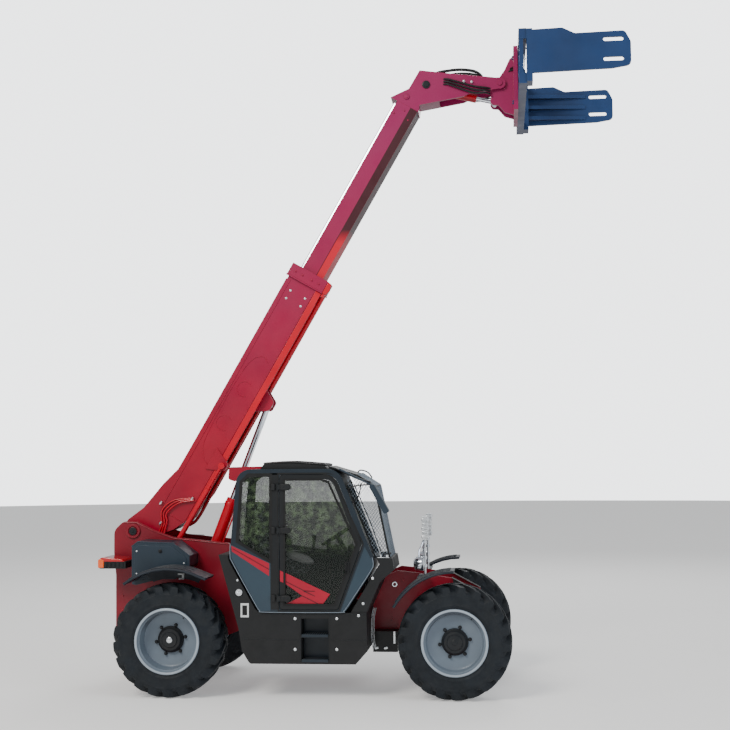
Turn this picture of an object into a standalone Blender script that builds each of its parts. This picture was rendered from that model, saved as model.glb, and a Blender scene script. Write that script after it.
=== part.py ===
"""Telehandler with a block clamp: a jointed model in metres, +Z up, +X forwards, cab on the -Y side."""
import math

import bmesh
import bpy
from mathutils import Matrix, Vector

# Driving dimensions. X is counted from the rear axle until the machine is moved onto its origin.
WHEELBASE = 3.0
TYRE_RADIUS = 0.59
TYRE_WIDTH = 0.40
TRACK_HALF = 0.94                 # machine centre to tyre centre
RIM_RADIUS = 0.335                # outer radius of the rim flange
WHEEL_SIDES = 32
REAR_DISH = 0.20                  # depth of the wheel disc behind the tyre's outer face
FRONT_DISH = 0.13
KINGPIN_Y = 0.79
FRAME_INNER = 0.30                # inner face of the frame's side plates
PLATE = 0.03                      # thickness of the frame's side plates
FRAME_FRONT_X = 3.25              # front end of the frame's side plates
BOOM_PIVOT = (-0.585, 1.692)      # x, z
BOOM_ANGLE = math.radians(60.0)
BOOM_PIN = 0.045                  # radii of the pins
LIFT_PIN = 0.030
COMP_PIN = 0.020
TILT_PIN = 0.026
CARRIAGE_PIN = 0.028
OUTER_LENGTH = 3.49               # boom pivot to the front of the collar
OUTER_HALF_WIDTH = 0.18
OUTER_TOP = -0.08                 # heights above the line through the pivot, along the boom
OUTER_BOTTOM = -0.46
OUTER_WALL = 0.012
INNER_GAP = 0.013                 # slide pads' space beside and below the inner boom
ROD_RADIUS = 0.028                # extension rod above the inner boom
INNER_START = 2.72
INNER_END = 5.66
LIFT_FOOT = (0.02, 0.86)          # x, z of the lift cylinder's lower pin
LIFT_EYE = (1.95, -0.57)          # along the boom, above the pivot line
COMP_FOOT = (-0.10, 1.58)
COMP_EYE = (1.11, -0.49)
COMP_Y = -0.235
HEAD_PIVOT = (3.549, 6.671)       # carriage pin
TILT_FOOT = (2.722, 6.680)
TILT_EYE = (3.492, 6.485)
HEAD_HALF_WIDTH = 0.15
HEAD_PLATE = 0.03
CAB_OUTER_Y = -1.12
CAB_INNER_Y = -0.34
CAB_WALL = 0.05
DOOR_CLEARANCE = 0.006
DOOR_THICKNESS = 0.045
DOOR_RAIL = 0.045
GLASS = 0.006
CLAMP_HALF_WIDTH = 1.14
CLAMP_BACK_X = 3.746
CLAMP_TIP_X = 4.905
LAMP_REAR_X = -0.86
BOX_OUTER = 0.74                  # outer face of the boxes above the rear wheels
FIT = 0.0003                      # gap between pieces that rest on each other
RUN = 0.0003                      # running clearance round a pin, and of a slide pad
PIN_SIDES = 24
BORE_FLOOR = 0.112                # from a cylinder's foot pin to the floor of its bore

CENTRE_X = (LAMP_REAR_X + CLAMP_TIP_X) / 2
FRAME_OUTER = FRAME_INNER + PLATE
INNER_TOP = OUTER_TOP - OUTER_WALL - 2 * ROD_RADIUS - 0.027
INNER_BOTTOM = OUTER_BOTTOM + OUTER_WALL + INNER_GAP
INNER_HALF_WIDTH = OUTER_HALF_WIDTH - OUTER_WALL - INNER_GAP
ROD_ABOVE = INNER_TOP + ROD_RADIUS + FIT
CAB_OUTLINE = [(0.665, 1.46, 0.08), (0.745, 2.375, 0.15), (1.813, 2.375, 0.18),
               (2.20, 1.388, 0.22), (1.871, 0.89, 0.14), (0.985, 0.89, 0.10)]
DOOR_OUTLINE = [(1.195, 0.925, 0.02), (1.195, 2.315, 0.03), (1.775, 2.315, 0.16),
                (2.052, 1.60, 0.04), (1.80, 0.925, 0.03)]
HINGE_X = 1.175
HINGE_Y = CAB_OUTER_Y - 0.0145


# ---- shape helpers ------------------------------------------------------------------------------
def arc(centre, radius, start, end, steps):
    """Points of an arc in degrees, counted from +X towards +Z."""
    angles = [math.radians(start + (end - start) * i / steps) for i in range(steps + 1)]
    return [(centre[0] + radius * math.cos(a), centre[1] + radius * math.sin(a)) for a in angles]


def rounded(corners, steps=4):
    """Outline whose corners (x, z, radius) are arcs; a corner without a radius stays sharp."""
    outline = []
    count = len(corners)
    for i, corner in enumerate(corners):
        here = Vector(corner[:2])
        radius = corner[2] if len(corner) > 2 else 0.0
        if radius <= 0.0:
            outline.append(tuple(here))
            continue
        back = (Vector(corners[i - 1][:2]) - here).normalized()
        ahead = (Vector(corners[(i + 1) % count][:2]) - here).normalized()
        half = back.angle(ahead) / 2
        reach = radius / math.tan(half)
        centre = here + (back + ahead).normalized() * (radius / math.sin(half))
        start = here + back * reach - centre
        end = here + ahead * reach - centre
        turn = math.atan2(start.x * end.y - start.y * end.x, start.dot(end))
        for step in range(steps + 1):
            spin = Matrix.Rotation(turn * step / steps, 2)
            outline.append(tuple(centre + spin @ start))
    return outline


def grown(corners, distance):
    """The same convex outline with every side moved outwards by distance (inwards if negative)."""
    count = len(corners)
    area = sum(corners[i - 1][0] * corners[i][1] - corners[i][0] * corners[i - 1][1] for i in range(count))
    side = 1.0 if area > 0 else -1.0
    result = []
    for i, corner in enumerate(corners):
        here = Vector(corner[:2])
        before = (here - Vector(corners[i - 1][:2])).normalized()
        after = (Vector(corners[(i + 1) % count][:2]) - here).normalized()
        out_before = Vector((before.y, -before.x)) * side
        out_after = Vector((after.y, -after.x)) * side
        mitre = (out_before + out_after).normalized()
        moved = here + mitre * (distance / mitre.dot(out_before))
        radius = corner[2] + distance if len(corner) > 2 and corner[2] > 0 else 0.0
        result.append((moved.x, moved.y, max(radius, 0.0)))
    return result


def on_boom(along, above):
    """World x, z of a point given along the boom's line and above it."""
    c, s = math.cos(BOOM_ANGLE), math.sin(BOOM_ANGLE)
    return (BOOM_PIVOT[0] + along * c - above * s, BOOM_PIVOT[1] + along * s + above * c)


def boom_outline(corners):
    return [on_boom(c[0], c[1]) + tuple(c[2:]) for c in corners]


def piece_from(name, mesh_builder, smooth=False):
    bmesh.ops.recalc_face_normals(mesh_builder, faces=mesh_builder.faces)
    if mesh_builder.calc_volume(signed=True) < 0:
        bmesh.ops.reverse_faces(mesh_builder, faces=mesh_builder.faces)
    mesh = bpy.data.meshes.new(name)
    mesh_builder.to_mesh(mesh)
    mesh_builder.free()
    if smooth:
        mesh.shade_smooth()
        mesh.set_sharp_from_angle(angle=math.radians(40))
    piece = bpy.data.objects.new(name, mesh)
    bpy.context.scene.collection.objects.link(piece)
    return piece


def plate(name, outline, y_low, y_high):
    """Side-view outline (x, z) given a thickness along Y."""
    builder = bmesh.new()
    face = builder.faces.new([builder.verts.new((x, y_low, z)) for x, z, *_ in outline])
    swept = bmesh.ops.extrude_face_region(builder, geom=[face])
    moved = [part for part in swept["geom"] if isinstance(part, bmesh.types.BMVert)]
    bmesh.ops.translate(builder, verts=moved, vec=(0, y_high - y_low, 0))
    return piece_from(name, builder)


def block(name, low, high):
    outline = [(low[0], low[2]), (high[0], low[2]), (high[0], high[2]), (low[0], high[2])]
    return plate(name, outline, low[1], high[1])


def rod(name, start, end, radius, sides=16):
    start, end = Vector(start), Vector(end)
    builder = bmesh.new()
    bmesh.ops.create_cone(builder, cap_ends=True, segments=sides, radius1=radius, radius2=radius,
                          depth=(end - start).length)
    turn = (end - start).to_track_quat("Z", "Y").to_matrix().to_4x4()
    builder.transform(Matrix.Translation((start + end) / 2) @ turn)
    return piece_from(name, builder, smooth=True)


def cross_pin(name, centre, radius, y_low, y_high, sides=PIN_SIDES):
    return rod(name, (centre[0], y_low, centre[1]), (centre[0], y_high, centre[1]), radius, sides)


def pin_hole(centre, pin_radius):
    """Cutter for a hole that a pin of this radius turns in: its flats clear the pin's corners."""
    return cross_pin("pin_hole", centre, (pin_radius + RUN) / math.cos(math.pi / PIN_SIDES), -1.5, 1.5)


def turned(name, profile, centre, side, sides):
    """Profile (radius, distance outwards) turned about the axle's line, with flats at the given radii."""
    builder = bmesh.new()
    rings = []
    to_corner = 1 / math.cos(math.pi / sides)
    for radius, out in profile:
        y = centre[1] + side * out
        if radius == 0.0:
            rings.append([builder.verts.new((centre[0], y, centre[2]))])
            continue
        ring = []
        for i in range(sides):
            angle = 2 * math.pi * (i + 0.5) / sides
            x = centre[0] + radius * to_corner * math.cos(angle)
            z = centre[2] + radius * to_corner * math.sin(angle)
            ring.append(builder.verts.new((x, y, z)))
        rings.append(ring)
    closed = profile[0][0] > 0.0
    pairs = list(zip(rings, rings[1:])) + ([(rings[-1], rings[0])] if closed else [])
    for first, second in pairs:
        for i in range(sides):
            j = (i + 1) % sides
            if len(first) == 1:
                builder.faces.new([first[0], second[i], second[j]])
            elif len(second) == 1:
                builder.faces.new([first[i], second[0], first[j]])
            else:
                builder.faces.new([first[i], second[i], second[j], first[j]])
    return piece_from(name, builder, smooth=True)


def combine(piece, tool, operation):
    """Boolean of the tool into the piece; the tool is used up."""
    modifier = piece.modifiers.new(operation, "BOOLEAN")
    modifier.operation = operation
    modifier.solver = "EXACT"
    modifier.object = tool
    graph = bpy.context.evaluated_depsgraph_get()
    mesh = bpy.data.meshes.new_from_object(piece.evaluated_get(graph))
    piece.modifiers.clear()
    piece.data = mesh
    bpy.data.objects.remove(tool)
    return piece


def add(piece, *tools):
    for tool in tools:
        combine(piece, tool, "UNION")
    return piece


def cut(piece, *tools):
    for tool in tools:
        combine(piece, tool, "DIFFERENCE")
    return piece


def mirrored(name, piece):
    """A copy of the piece on the other side of the machine's centre plane."""
    mesh = piece.data.copy()
    mesh.transform(Matrix.Diagonal((1, -1, 1, 1)))
    mesh.flip_normals()
    copy = bpy.data.objects.new(name, mesh)
    bpy.context.scene.collection.objects.link(copy)
    return copy


def span(side, near, far):
    """The Y range between two distances from the centre plane, on one side."""
    return (min(side * near, side * far), max(side * near, side * far))


# ---- chassis -------------------------------------------------------------------------------------
def make_chassis_frame():
    outline = rounded([(-0.775, 0.53, 0.06), (-0.778, 1.205), (-0.802, 1.45), (-0.802, 1.70, 0.10),
                       (-0.70, 1.80, 0.10), (-0.54, 1.80, 0.10), (-0.34, 1.70), (-0.12, 1.625), (0.50, 1.56, 0.05),
                       (0.62, 1.40), (0.70, 0.95), (2.12, 0.95), (2.24, 1.21), (2.36, 1.26, 0.03),
                       (2.55, 1.24), (2.95, 1.18), (FRAME_FRONT_X, 1.02, 0.05), (FRAME_FRONT_X, 0.63, 0.04),
                       (2.10, 0.63), (0.60, 0.60), (0.42, 0.53)], 3)
    frame = plate("chassis_frame", outline, -FRAME_OUTER, -FRAME_INNER)
    add(frame, plate("far_plate", outline, FRAME_INNER, FRAME_OUTER))
    for axle_x in (0.0, WHEELBASE):
        cut(frame, block("axle_notch", (axle_x - 0.13, -0.5, 0.4), (axle_x + 0.13, 0.5, 0.70)))
    reach = FRAME_INNER + 0.01
    add(frame,
        block("floor", (-0.60, -reach, 0.735), (FRAME_FRONT_X - 0.05, reach, 0.755)),
        block("rear_box", (-0.765, -reach, 0.56), (-0.58, reach, 1.18)),
        block("front_box", (FRAME_FRONT_X - 0.10, -reach, 0.66), (FRAME_FRONT_X - 0.01, reach, 0.90)),
        cross_pin("boom_pin", BOOM_PIVOT, BOOM_PIN, -FRAME_OUTER - 0.02, FRAME_OUTER + 0.02),
        cross_pin("lift_pin", LIFT_FOOT, LIFT_PIN, -reach, reach),
        cross_pin("comp_pin", COMP_FOOT, COMP_PIN, -reach, COMP_Y + 0.03))
    return frame


def make_axle(name, x):
    beam, end = 0.09, 0.705
    profile = [(0.0, -end), (beam, -end), (beam, -0.19), (0.145, -0.09), (0.145, 0.09), (beam, 0.19), (beam, end),
               (0.0, end)]
    axle = turned(name, profile, (x, 0.0, TYRE_RADIUS), 1, 20)
    for side in (-1, 1):
        low, high = span(side, 0.29, 0.34)
        add(axle, block("spring_pad", (x - 0.12, low, TYRE_RADIUS), (x + 0.12, high, 0.70 - FIT)))
        low, high = span(side, 0.675, 0.715)
        add(axle, block("yoke_web", (x - 0.06, low, TYRE_RADIUS - 0.17), (x + 0.06, high, TYRE_RADIUS + 0.17)))
        for up in (-1, 1):
            low, high = span(side, 0.70, KINGPIN_Y + 0.05)
            ear = sorted((TYRE_RADIUS + up * 0.135, TYRE_RADIUS + up * 0.17))
            add(axle, block("yoke_ear", (x - 0.05, low, ear[0]), (x + 0.05, high, ear[1])))
    return axle


def make_knuckle(name, x, side):
    top = (x, side * KINGPIN_Y, TYRE_RADIUS + 0.1345)
    bottom = (x, side * KINGPIN_Y, TYRE_RADIUS - 0.1345)
    knuckle = rod(name, bottom, top, 0.05)
    face = TRACK_HALF + TYRE_WIDTH / 2 - (REAR_DISH if x == 0.0 else FRONT_DISH)
    y_ends = sorted((side * KINGPIN_Y, side * (face - 0.012 - FIT)))
    return add(knuckle, cross_pin("spindle", (x, TYRE_RADIUS), 0.10, *y_ends))


def make_tyre(name, x, side):
    half = TYRE_WIDTH / 2
    seat = RIM_RADIUS - 0.03 + FIT
    profile = [(seat, -half * 0.83), (RIM_RADIUS + 0.02, -half * 0.96), (TYRE_RADIUS * 0.82, -half),
               (TYRE_RADIUS, -half * 0.78), (TYRE_RADIUS, half * 0.78), (TYRE_RADIUS * 0.82, half),
               (RIM_RADIUS + 0.02, half * 0.96), (seat, half * 0.83)]
    return turned(name, profile, (x, side * TRACK_HALF, TYRE_RADIUS), side, WHEEL_SIDES)


def make_rim(name, x, side):
    half = TYRE_WIDTH / 2
    dish = half - (REAR_DISH if x == 0.0 else FRONT_DISH)
    barrel = RIM_RADIUS - 0.03
    profile = [(0.0, dish + 0.10), (0.095, dish + 0.10), (0.110, dish), (barrel - 0.045, dish),
               (barrel - 0.012, half * 0.80), (RIM_RADIUS, half * 0.96), (barrel, half * 0.83),
               (barrel, -half * 0.83), (RIM_RADIUS, -half * 0.93), (barrel - 0.014, -half * 0.85),
               (barrel - 0.055, dish - 0.012), (0.0, dish - 0.012)]
    return turned(name, profile, (x, side * TRACK_HALF, TYRE_RADIUS), side, WHEEL_SIDES)


def make_fender(name, x, side, radius, start, end, tail):
    """Mudguard on an arc; tail is the flat end's length beyond the arc's lower-angle end."""
    centre = (x, TYRE_RADIUS)
    outer = arc(centre, radius, end, start, 8)
    inner = arc(centre, radius - 0.022, start, end, 8)
    turn = math.radians(start)
    flat = Vector((math.sin(turn), -math.cos(turn))) * tail
    if tail:
        outer.append((outer[-1][0] + flat.x, outer[-1][1] + flat.y))
        inner.insert(0, (inner[0][0] + flat.x, inner[0][1] + flat.y))
    guard = plate(name, outer + inner, *span(side, BOX_OUTER + FIT, TRACK_HALF + TYRE_WIDTH / 2 - 0.005))
    if x > 0:
        low, high = span(side, FRAME_OUTER + FIT, BOX_OUTER + 0.04)
        add(guard, block("arm", (x - 0.40, low, 1.205), (x - 0.31, high, 1.225)))
    return guard


def make_service_box(name, side):
    outline = rounded([(-0.485, 1.20, 0.02), (-0.485, 1.55, 0.03), (-0.42, 1.60, 0.03), (-0.03, 1.585, 0.03),
                       (0.15, 1.45, 0.02), (0.15, 1.34, 0.02), (0.0, 1.20, 0.02)], 2)
    return plate(name, outline, *span(side, FRAME_OUTER + FIT, BOX_OUTER))


def make_rear_lamp_bar():
    bar = block("rear_lamp_bar", (LAMP_REAR_X, -0.70, 1.33), (-0.802 - FIT, 0.70, 1.38))
    outline = rounded([(LAMP_REAR_X, 1.31, 0.02), (LAMP_REAR_X, 1.41, 0.03), (-0.56, 1.385, 0.01),
                       (-0.56, 1.31, 0.01)], 2)
    for side in (-1, 1):
        add(bar, plate("lamp_housing", outline, *span(side, FRAME_OUTER + FIT, 0.72)))
    return bar


def make_lamp_stalk(name, side):
    y = side * (FRAME_INNER + PLATE / 2)
    low, high = span(side, 0.27, 0.44)
    stalk = rod(name, (2.66, y, 1.2255), (2.66, y, 1.62), 0.014, 10)
    return add(stalk, block("mirror", (2.64, low, 1.60), (2.70, high, 1.845)),
               rod("lamp_arm", (2.66, y, 1.32), (2.60, side * 0.40, 1.32), 0.012, 8),
               rod("lamp", (2.56, side * 0.40, 1.34), (2.64, side * 0.40, 1.34), 0.07, 16))


def make_engine_hood():
    outline = rounded([(0.78, 0.58, 0.03), (0.78, 1.22, 0.08), (0.95, 1.32, 0.06), (1.90, 1.28, 0.10),
                       (2.10, 1.05, 0.08), (2.10, 0.58, 0.03)], 3)
    inside = [(0.80, 0.50), (0.80, 1.22), (0.95, 1.30), (1.89, 1.26), (2.08, 1.05), (2.08, 0.50)]
    hood = plate("engine_hood", outline, FRAME_OUTER + FIT, 1.08)
    return cut(hood, plate("hood_space", inside, 0.2, 1.06))


def make_under_cab():
    top = 0.89 - FIT
    outline = rounded([(0.873, 0.365, 0.04), (0.79, 0.50), (0.755, 0.724), (0.544, 1.487), (0.64, 1.487, 0.02),
                       (0.655, 1.42), (0.93, 0.93), (0.97, top), (1.90, top), (2.095, top), (2.102, 0.50),
                       (1.98, 0.365)], 3)
    body = plate("side_tank", outline, -1.10, -FRAME_OUTER - FIT)
    cut(body, block("step_upper", (1.415, -1.20, 0.66), (1.70, -0.92, 0.83)),
        block("step_lower", (1.415, -1.20, 0.405), (1.70, -0.92, 0.635)))
    return body


def make_cowl():
    outline = [(1.93, 0.89 + FIT), (2.095, 0.89 + FIT), (2.24, 1.21), (2.385, 1.33), (2.365, 1.45), (2.205, 1.45),
               (2.232, 1.39)]
    return plate("cowl", outline, -1.09, -FRAME_OUTER - FIT)


# ---- cab -----------------------------------------------------------------------------------------
QUARTER_WINDOW = [(0.752, 1.628, 0.03), (0.80, 2.31, 0.10), (1.098, 2.31, 0.01), (1.098, 1.425, 0.01)]
BOOM_SIDE_WINDOW = [(0.75, 1.46, 0.04), (0.80, 2.30, 0.10), (1.74, 2.30, 0.12), (2.06, 1.46, 0.04)]
REAR_WINDOW = (1.60, 2.24)
SCREEN_TOP = (1.860, 2.20)
SCREEN_FOOT = (2.147, 1.47)


def make_cab_frame():
    cab = plate("cab_frame", rounded(CAB_OUTLINE, 6), CAB_OUTER_Y, CAB_INNER_Y)
    inside = rounded(grown(CAB_OUTLINE, -CAB_WALL), 6)
    cut(cab, plate("inside", inside, CAB_OUTER_Y + CAB_WALL, CAB_INNER_Y - CAB_WALL),
        plate("door_hole", rounded(grown(DOOR_OUTLINE, DOOR_CLEARANCE)), CAB_OUTER_Y - 0.1, CAB_OUTER_Y + 0.1),
        plate("quarter_hole", rounded(QUARTER_WINDOW), CAB_OUTER_Y - 0.1, CAB_OUTER_Y + 0.1),
        plate("boom_side_hole", rounded(BOOM_SIDE_WINDOW), CAB_INNER_Y - 0.1, CAB_INNER_Y + 0.1),
        block("rear_hole", (0.5, -1.04, REAR_WINDOW[0]), (0.83, -0.42, REAR_WINDOW[1])),
        block("roof_hole", (0.98, -1.02, 2.28), (1.60, -0.44, 2.5)))
    screen_hole = [(SCREEN_TOP[0] - 0.20, SCREEN_TOP[1]), (SCREEN_FOOT[0] - 0.20, SCREEN_FOOT[1]),
                   (2.6, SCREEN_FOOT[1]), (2.6, SCREEN_TOP[1])]
    return cut(cab, plate("screen_hole", screen_hole, -1.05, -0.41))


def make_cab_roof():
    outline = rounded([(0.98, 2.375 + FIT), (1.02, 2.432, 0.03), (1.30, 2.436), (1.66, 2.41, 0.03),
                       (1.70, 2.375 + FIT)], 2)
    return plate("cab_roof", outline, -1.06, -0.40)


def glass_strip(name, foot, top, y_low, y_high):
    """A flat pane seen edge-on between two points, as thick as the glass."""
    foot, top = Vector(foot), Vector(top)
    along = (top - foot).normalized()
    out = Vector((along.y, -along.x)) * GLASS
    corners = [foot, top, top + out, foot + out]
    return plate(name, [tuple(corner) for corner in corners], y_low, y_high)


def make_windscreen():
    along = (Vector(SCREEN_TOP) - Vector(SCREEN_FOOT)).normalized() * 0.004
    foot = Vector(SCREEN_FOOT) + along + Vector((-0.02, 0.0))
    top = Vector(SCREEN_TOP) - along + Vector((-0.02, 0.0))
    return glass_strip("windscreen", foot, top, -1.05 + FIT, -0.41 - FIT)


def make_cab_glass():
    near_face, far_face = CAB_OUTER_Y + 0.02, CAB_INNER_Y - 0.02
    return (plate("quarter_glass", rounded(grown(QUARTER_WINDOW, -FIT)), near_face, near_face + GLASS),
            plate("boom_side_glass", rounded(grown(BOOM_SIDE_WINDOW, -FIT)), far_face - GLASS, far_face),
            glass_strip("rear_glass", (0.703, REAR_WINDOW[0] + 2 * FIT), (0.757, REAR_WINDOW[1] - 5 * FIT),
                        -1.04 + FIT, -0.42 - FIT))


def make_windscreen_guard():
    bars = [(1.7003, 2.385), (1.7003, 2.405), (2.0, 2.315), (2.195, 2.19), (2.345, 1.4503), (2.325, 1.4503),
            (2.178, 2.175), (1.99, 2.295)]
    guard = plate("windscreen_guard", bars, -1.04, -0.36)
    for low, high in ((-1.02, -0.71), (-0.69, -0.38)):
        opening = [(2.20, 2.05), (2.28, 1.55), (2.45, 1.55), (2.45, 2.05)]
        cut(guard, plate("guard_hole", opening, low, high))
    return guard


def make_mirror():
    arm = rod("cab_mirror", (1.82, -1.085, 2.372), (2.17, -1.10, 2.20), 0.011, 8)
    body = rounded([(2.13, 2.20, 0.015), (2.185, 2.215, 0.015), (2.345, 1.93, 0.015), (2.29, 1.905, 0.015)], 2)
    return add(arm, plate("mirror_body", body, -1.14, -1.04 - FIT))


def make_boom_side_bar():
    outline = rounded([(0.49, 2.26, 0.03), (0.50, 2.395, 0.02), (1.10, 2.405), (1.08, 2.375), (0.666, 2.272),
                       (0.562, 2.236, 0.03)], 2)
    return plate("boom_side_bar", outline, CAB_INNER_Y + FIT, CAB_INNER_Y + 0.04)


SEAT_Y = (-0.95, -0.48)
FLOOR_Z = 0.89 + CAB_WALL


def make_seat():
    base = block("seat_base", (1.06, SEAT_Y[0] + 0.04, FLOOR_Z + FIT), (1.40, SEAT_Y[1] - 0.04, 1.28))
    cushion_outline = rounded([(0.96, 1.28 + FIT, 0.02), (0.96, 1.405, 0.02), (1.46, 1.42, 0.05),
                               (1.47, 1.28 + FIT, 0.03)])
    cushion = plate("seat_cushion", cushion_outline, *SEAT_Y)
    seat_top = 1.4052 + FIT
    back_outline = rounded([(0.965, seat_top), (1.065, seat_top + 0.003), (0.985, 2.04, 0.04), (0.875, 2.04, 0.04)])
    back = plate("seat_back", back_outline, SEAT_Y[0] + 0.01, SEAT_Y[1] - 0.01)
    return base, cushion, back


def make_dashboard():
    outline = rounded([(1.70, FLOOR_Z + FIT), (1.77, FLOOR_Z + FIT), (2.045, 1.34), (2.04, 1.42, 0.02),
                       (1.90, 1.42, 0.03), (1.82, 1.28)], 3)
    return add(plate("dashboard", outline, -1.0, -0.45), *make_steering_wheel())


def make_steering_wheel():
    """Rim, column and spokes of the steering wheel, which stands on the dashboard."""
    hub, foot = Vector((1.745, -0.72, 1.66)), Vector((1.905, -0.72, 1.40))
    axis = (hub - foot).normalized()
    turn = axis.to_track_quat("Z", "Y").to_matrix().to_4x4()
    rim_radius, grip = 0.175, 0.014
    around, across = 16, 6
    builder = bmesh.new()
    for i in range(around):
        angle = 2 * math.pi * i / around
        for j in range(across):
            tube = 2 * math.pi * j / across
            radius = rim_radius + grip * math.cos(tube)
            point = Vector((radius * math.cos(angle), radius * math.sin(angle), grip * math.sin(tube)))
            builder.verts.new(hub + turn @ point)
    builder.verts.ensure_lookup_table()
    for i in range(around):
        for j in range(across):
            corners = ((i, j), (i, (j + 1) % across), ((i + 1) % around, (j + 1) % across), ((i + 1) % around, j))
            builder.faces.new([builder.verts[a * across + b] for a, b in corners])
    spoke, other = turn @ Vector((rim_radius, 0, 0)), turn @ Vector((0, rim_radius, 0))
    return (rod("column", foot, hub + axis * 0.012, 0.025, 10), rod("spoke", hub - spoke, hub + spoke, 0.009, 8),
            rod("spoke_across", hub - other, hub, 0.009, 8), piece_from("wheel", builder, smooth=True))


def make_door():
    frame = plate("door_frame", rounded(DOOR_OUTLINE), CAB_OUTER_Y, CAB_OUTER_Y + DOOR_THICKNESS)
    hole = grown(DOOR_OUTLINE, -DOOR_RAIL)
    cut(frame, plate("door_hole", rounded(hole), CAB_OUTER_Y - 0.1, CAB_OUTER_Y + 0.1))
    for z in (1.04, 1.74, 2.19):
        add(frame, block("hinge_pad", (1.20, HINGE_Y - 0.010, z - 0.025), (1.28, CAB_OUTER_Y + 0.01, z + 0.025)),
            block("hinge_leaf", (HINGE_X, HINGE_Y - 0.010, z - 0.025), (1.25, CAB_OUTER_Y - 0.002, z + 0.025)),
            rod("hinge_barrel", (HINGE_X, HINGE_Y, z - 0.035), (HINGE_X, HINGE_Y, z + 0.035), 0.0137, 12))
    pane = CAB_OUTER_Y + 0.015
    return frame, plate("door_glass", rounded(grown(hole, -FIT)), pane, pane + GLASS)


# ---- boom ----------------------------------------------------------------------------------------
def make_boom_outer():
    heel = [(0.16 * math.cos(a), 0.16 * math.sin(a)) for a in (math.radians(t) for t in (70, 110, 150, 190, 230, 260))]
    corners = [(OUTER_LENGTH, OUTER_TOP), (0.85, OUTER_TOP + 0.01), (0.60, 0.0), (0.26, 0.06)]
    corners += heel + [(0.22, -0.36), (0.42, OUTER_BOTTOM), (OUTER_LENGTH, OUTER_BOTTOM)]
    boom = plate("boom_outer", boom_outline(corners), -OUTER_HALF_WIDTH, OUTER_HALF_WIDTH)
    collar = [(OUTER_LENGTH - 0.15, OUTER_TOP + 0.025), (OUTER_LENGTH, OUTER_TOP + 0.025),
              (OUTER_LENGTH, OUTER_BOTTOM - 0.05), (OUTER_LENGTH - 0.15, OUTER_BOTTOM - 0.05)]
    add(boom, plate("collar", boom_outline(collar), -OUTER_HALF_WIDTH - 0.025, OUTER_HALF_WIDTH + 0.025))
    hollow = [(0.60, OUTER_TOP - OUTER_WALL), (OUTER_LENGTH + 0.1, OUTER_TOP - OUTER_WALL),
              (OUTER_LENGTH + 0.1, OUTER_BOTTOM + OUTER_WALL), (0.60, OUTER_BOTTOM + OUTER_WALL)]
    inner = OUTER_HALF_WIDTH - OUTER_WALL
    cut(boom, plate("hollow", boom_outline(hollow), -inner, inner),
        pin_hole(BOOM_PIVOT, BOOM_PIN))
    pad_back, pad_front = OUTER_LENGTH - 0.13, OUTER_LENGTH - 0.02
    below = [(pad_back, OUTER_BOTTOM + 0.005), (pad_front, OUTER_BOTTOM + 0.005), (pad_front, INNER_BOTTOM - RUN),
             (pad_back, INNER_BOTTOM - RUN)]
    beside = [(pad_back, INNER_BOTTOM + 0.05), (pad_front, INNER_BOTTOM + 0.05), (pad_front, INNER_TOP - 0.05),
              (pad_back, INNER_TOP - 0.05)]
    add(boom, plate("pad_below", boom_outline(below), -0.10, 0.10))
    for side in (-1, 1):
        add(boom, plate("pad_beside", boom_outline(beside),
                        *span(side, INNER_HALF_WIDTH + RUN, OUTER_HALF_WIDTH - 0.005)))
    along, above = LIFT_EYE
    ear = rounded(boom_outline([(along - 0.16, OUTER_BOTTOM + 0.005), (along - 0.05, above - 0.06, 0.04),
                                (along + 0.06, above - 0.06, 0.04), (along + 0.16, OUTER_BOTTOM + 0.005)]))
    for side in (-1, 1):
        add(boom, plate("lift_ear", ear, *span(side, 0.07, 0.10)))
    along, above = COMP_EYE
    lug = rounded(boom_outline([(along - 0.12, -0.34), (along - 0.04, above - 0.05, 0.03),
                                (along + 0.05, above - 0.05, 0.03), (along + 0.14, -0.34)]))
    return add(boom, plate("comp_lug", lug, -0.200, -OUTER_HALF_WIDTH + 0.005))


def make_boom_inner():
    corners = [(INNER_START, INNER_TOP), (INNER_END - FIT, INNER_TOP), (INNER_END - FIT, INNER_BOTTOM),
               (INNER_START, INNER_BOTTOM)]
    boom = plate("boom_inner", boom_outline(corners), -INNER_HALF_WIDTH, INNER_HALF_WIDTH)
    hollow = [(INNER_START - 0.1, INNER_TOP - OUTER_WALL), (INNER_END - 0.02, INNER_TOP - OUTER_WALL),
              (INNER_END - 0.02, INNER_BOTTOM + OUTER_WALL), (INNER_START - 0.1, INNER_BOTTOM + OUTER_WALL)]
    inner = INNER_HALF_WIDTH - OUTER_WALL
    return cut(boom, plate("hollow", boom_outline(hollow), -inner, inner))


def make_extension_rod():
    start, end = on_boom(INNER_START + 0.05, ROD_ABOVE), on_boom(INNER_END - FIT, ROD_ABOVE)
    return rod("extension_rod", (start[0], 0, start[1]), (end[0], 0, end[1]), ROD_RADIUS, 12)


def make_boom_head():
    outline = [on_boom(INNER_END, -0.085), (2.527, 6.643), (2.649, 6.847), (3.058, 6.788), (3.49, 6.735)]
    outline += arc(HEAD_PIVOT, 0.066, 75, -105, 6)
    outline += [(3.205, 6.562), (3.14, 6.533), (2.644, 6.452), on_boom(INNER_END, INNER_BOTTOM - 0.012)]
    head = plate("boom_head", outline, -HEAD_HALF_WIDTH, HEAD_HALF_WIDTH)
    slot = [(2.62, 6.57), (2.64, 6.78), (3.02, 6.74), (3.08, 6.95), (3.80, 6.95), (3.80, 6.30), (2.92, 6.30),
            (2.86, 6.52)]
    inner = HEAD_HALF_WIDTH - HEAD_PLATE
    cut(head, plate("slot", slot, -inner, inner), pin_hole(HEAD_PIVOT, CARRIAGE_PIN))
    return add(head, cross_pin("tilt_pin", TILT_FOOT, TILT_PIN, -HEAD_HALF_WIDTH - 0.012, HEAD_HALF_WIDTH + 0.012))


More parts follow.
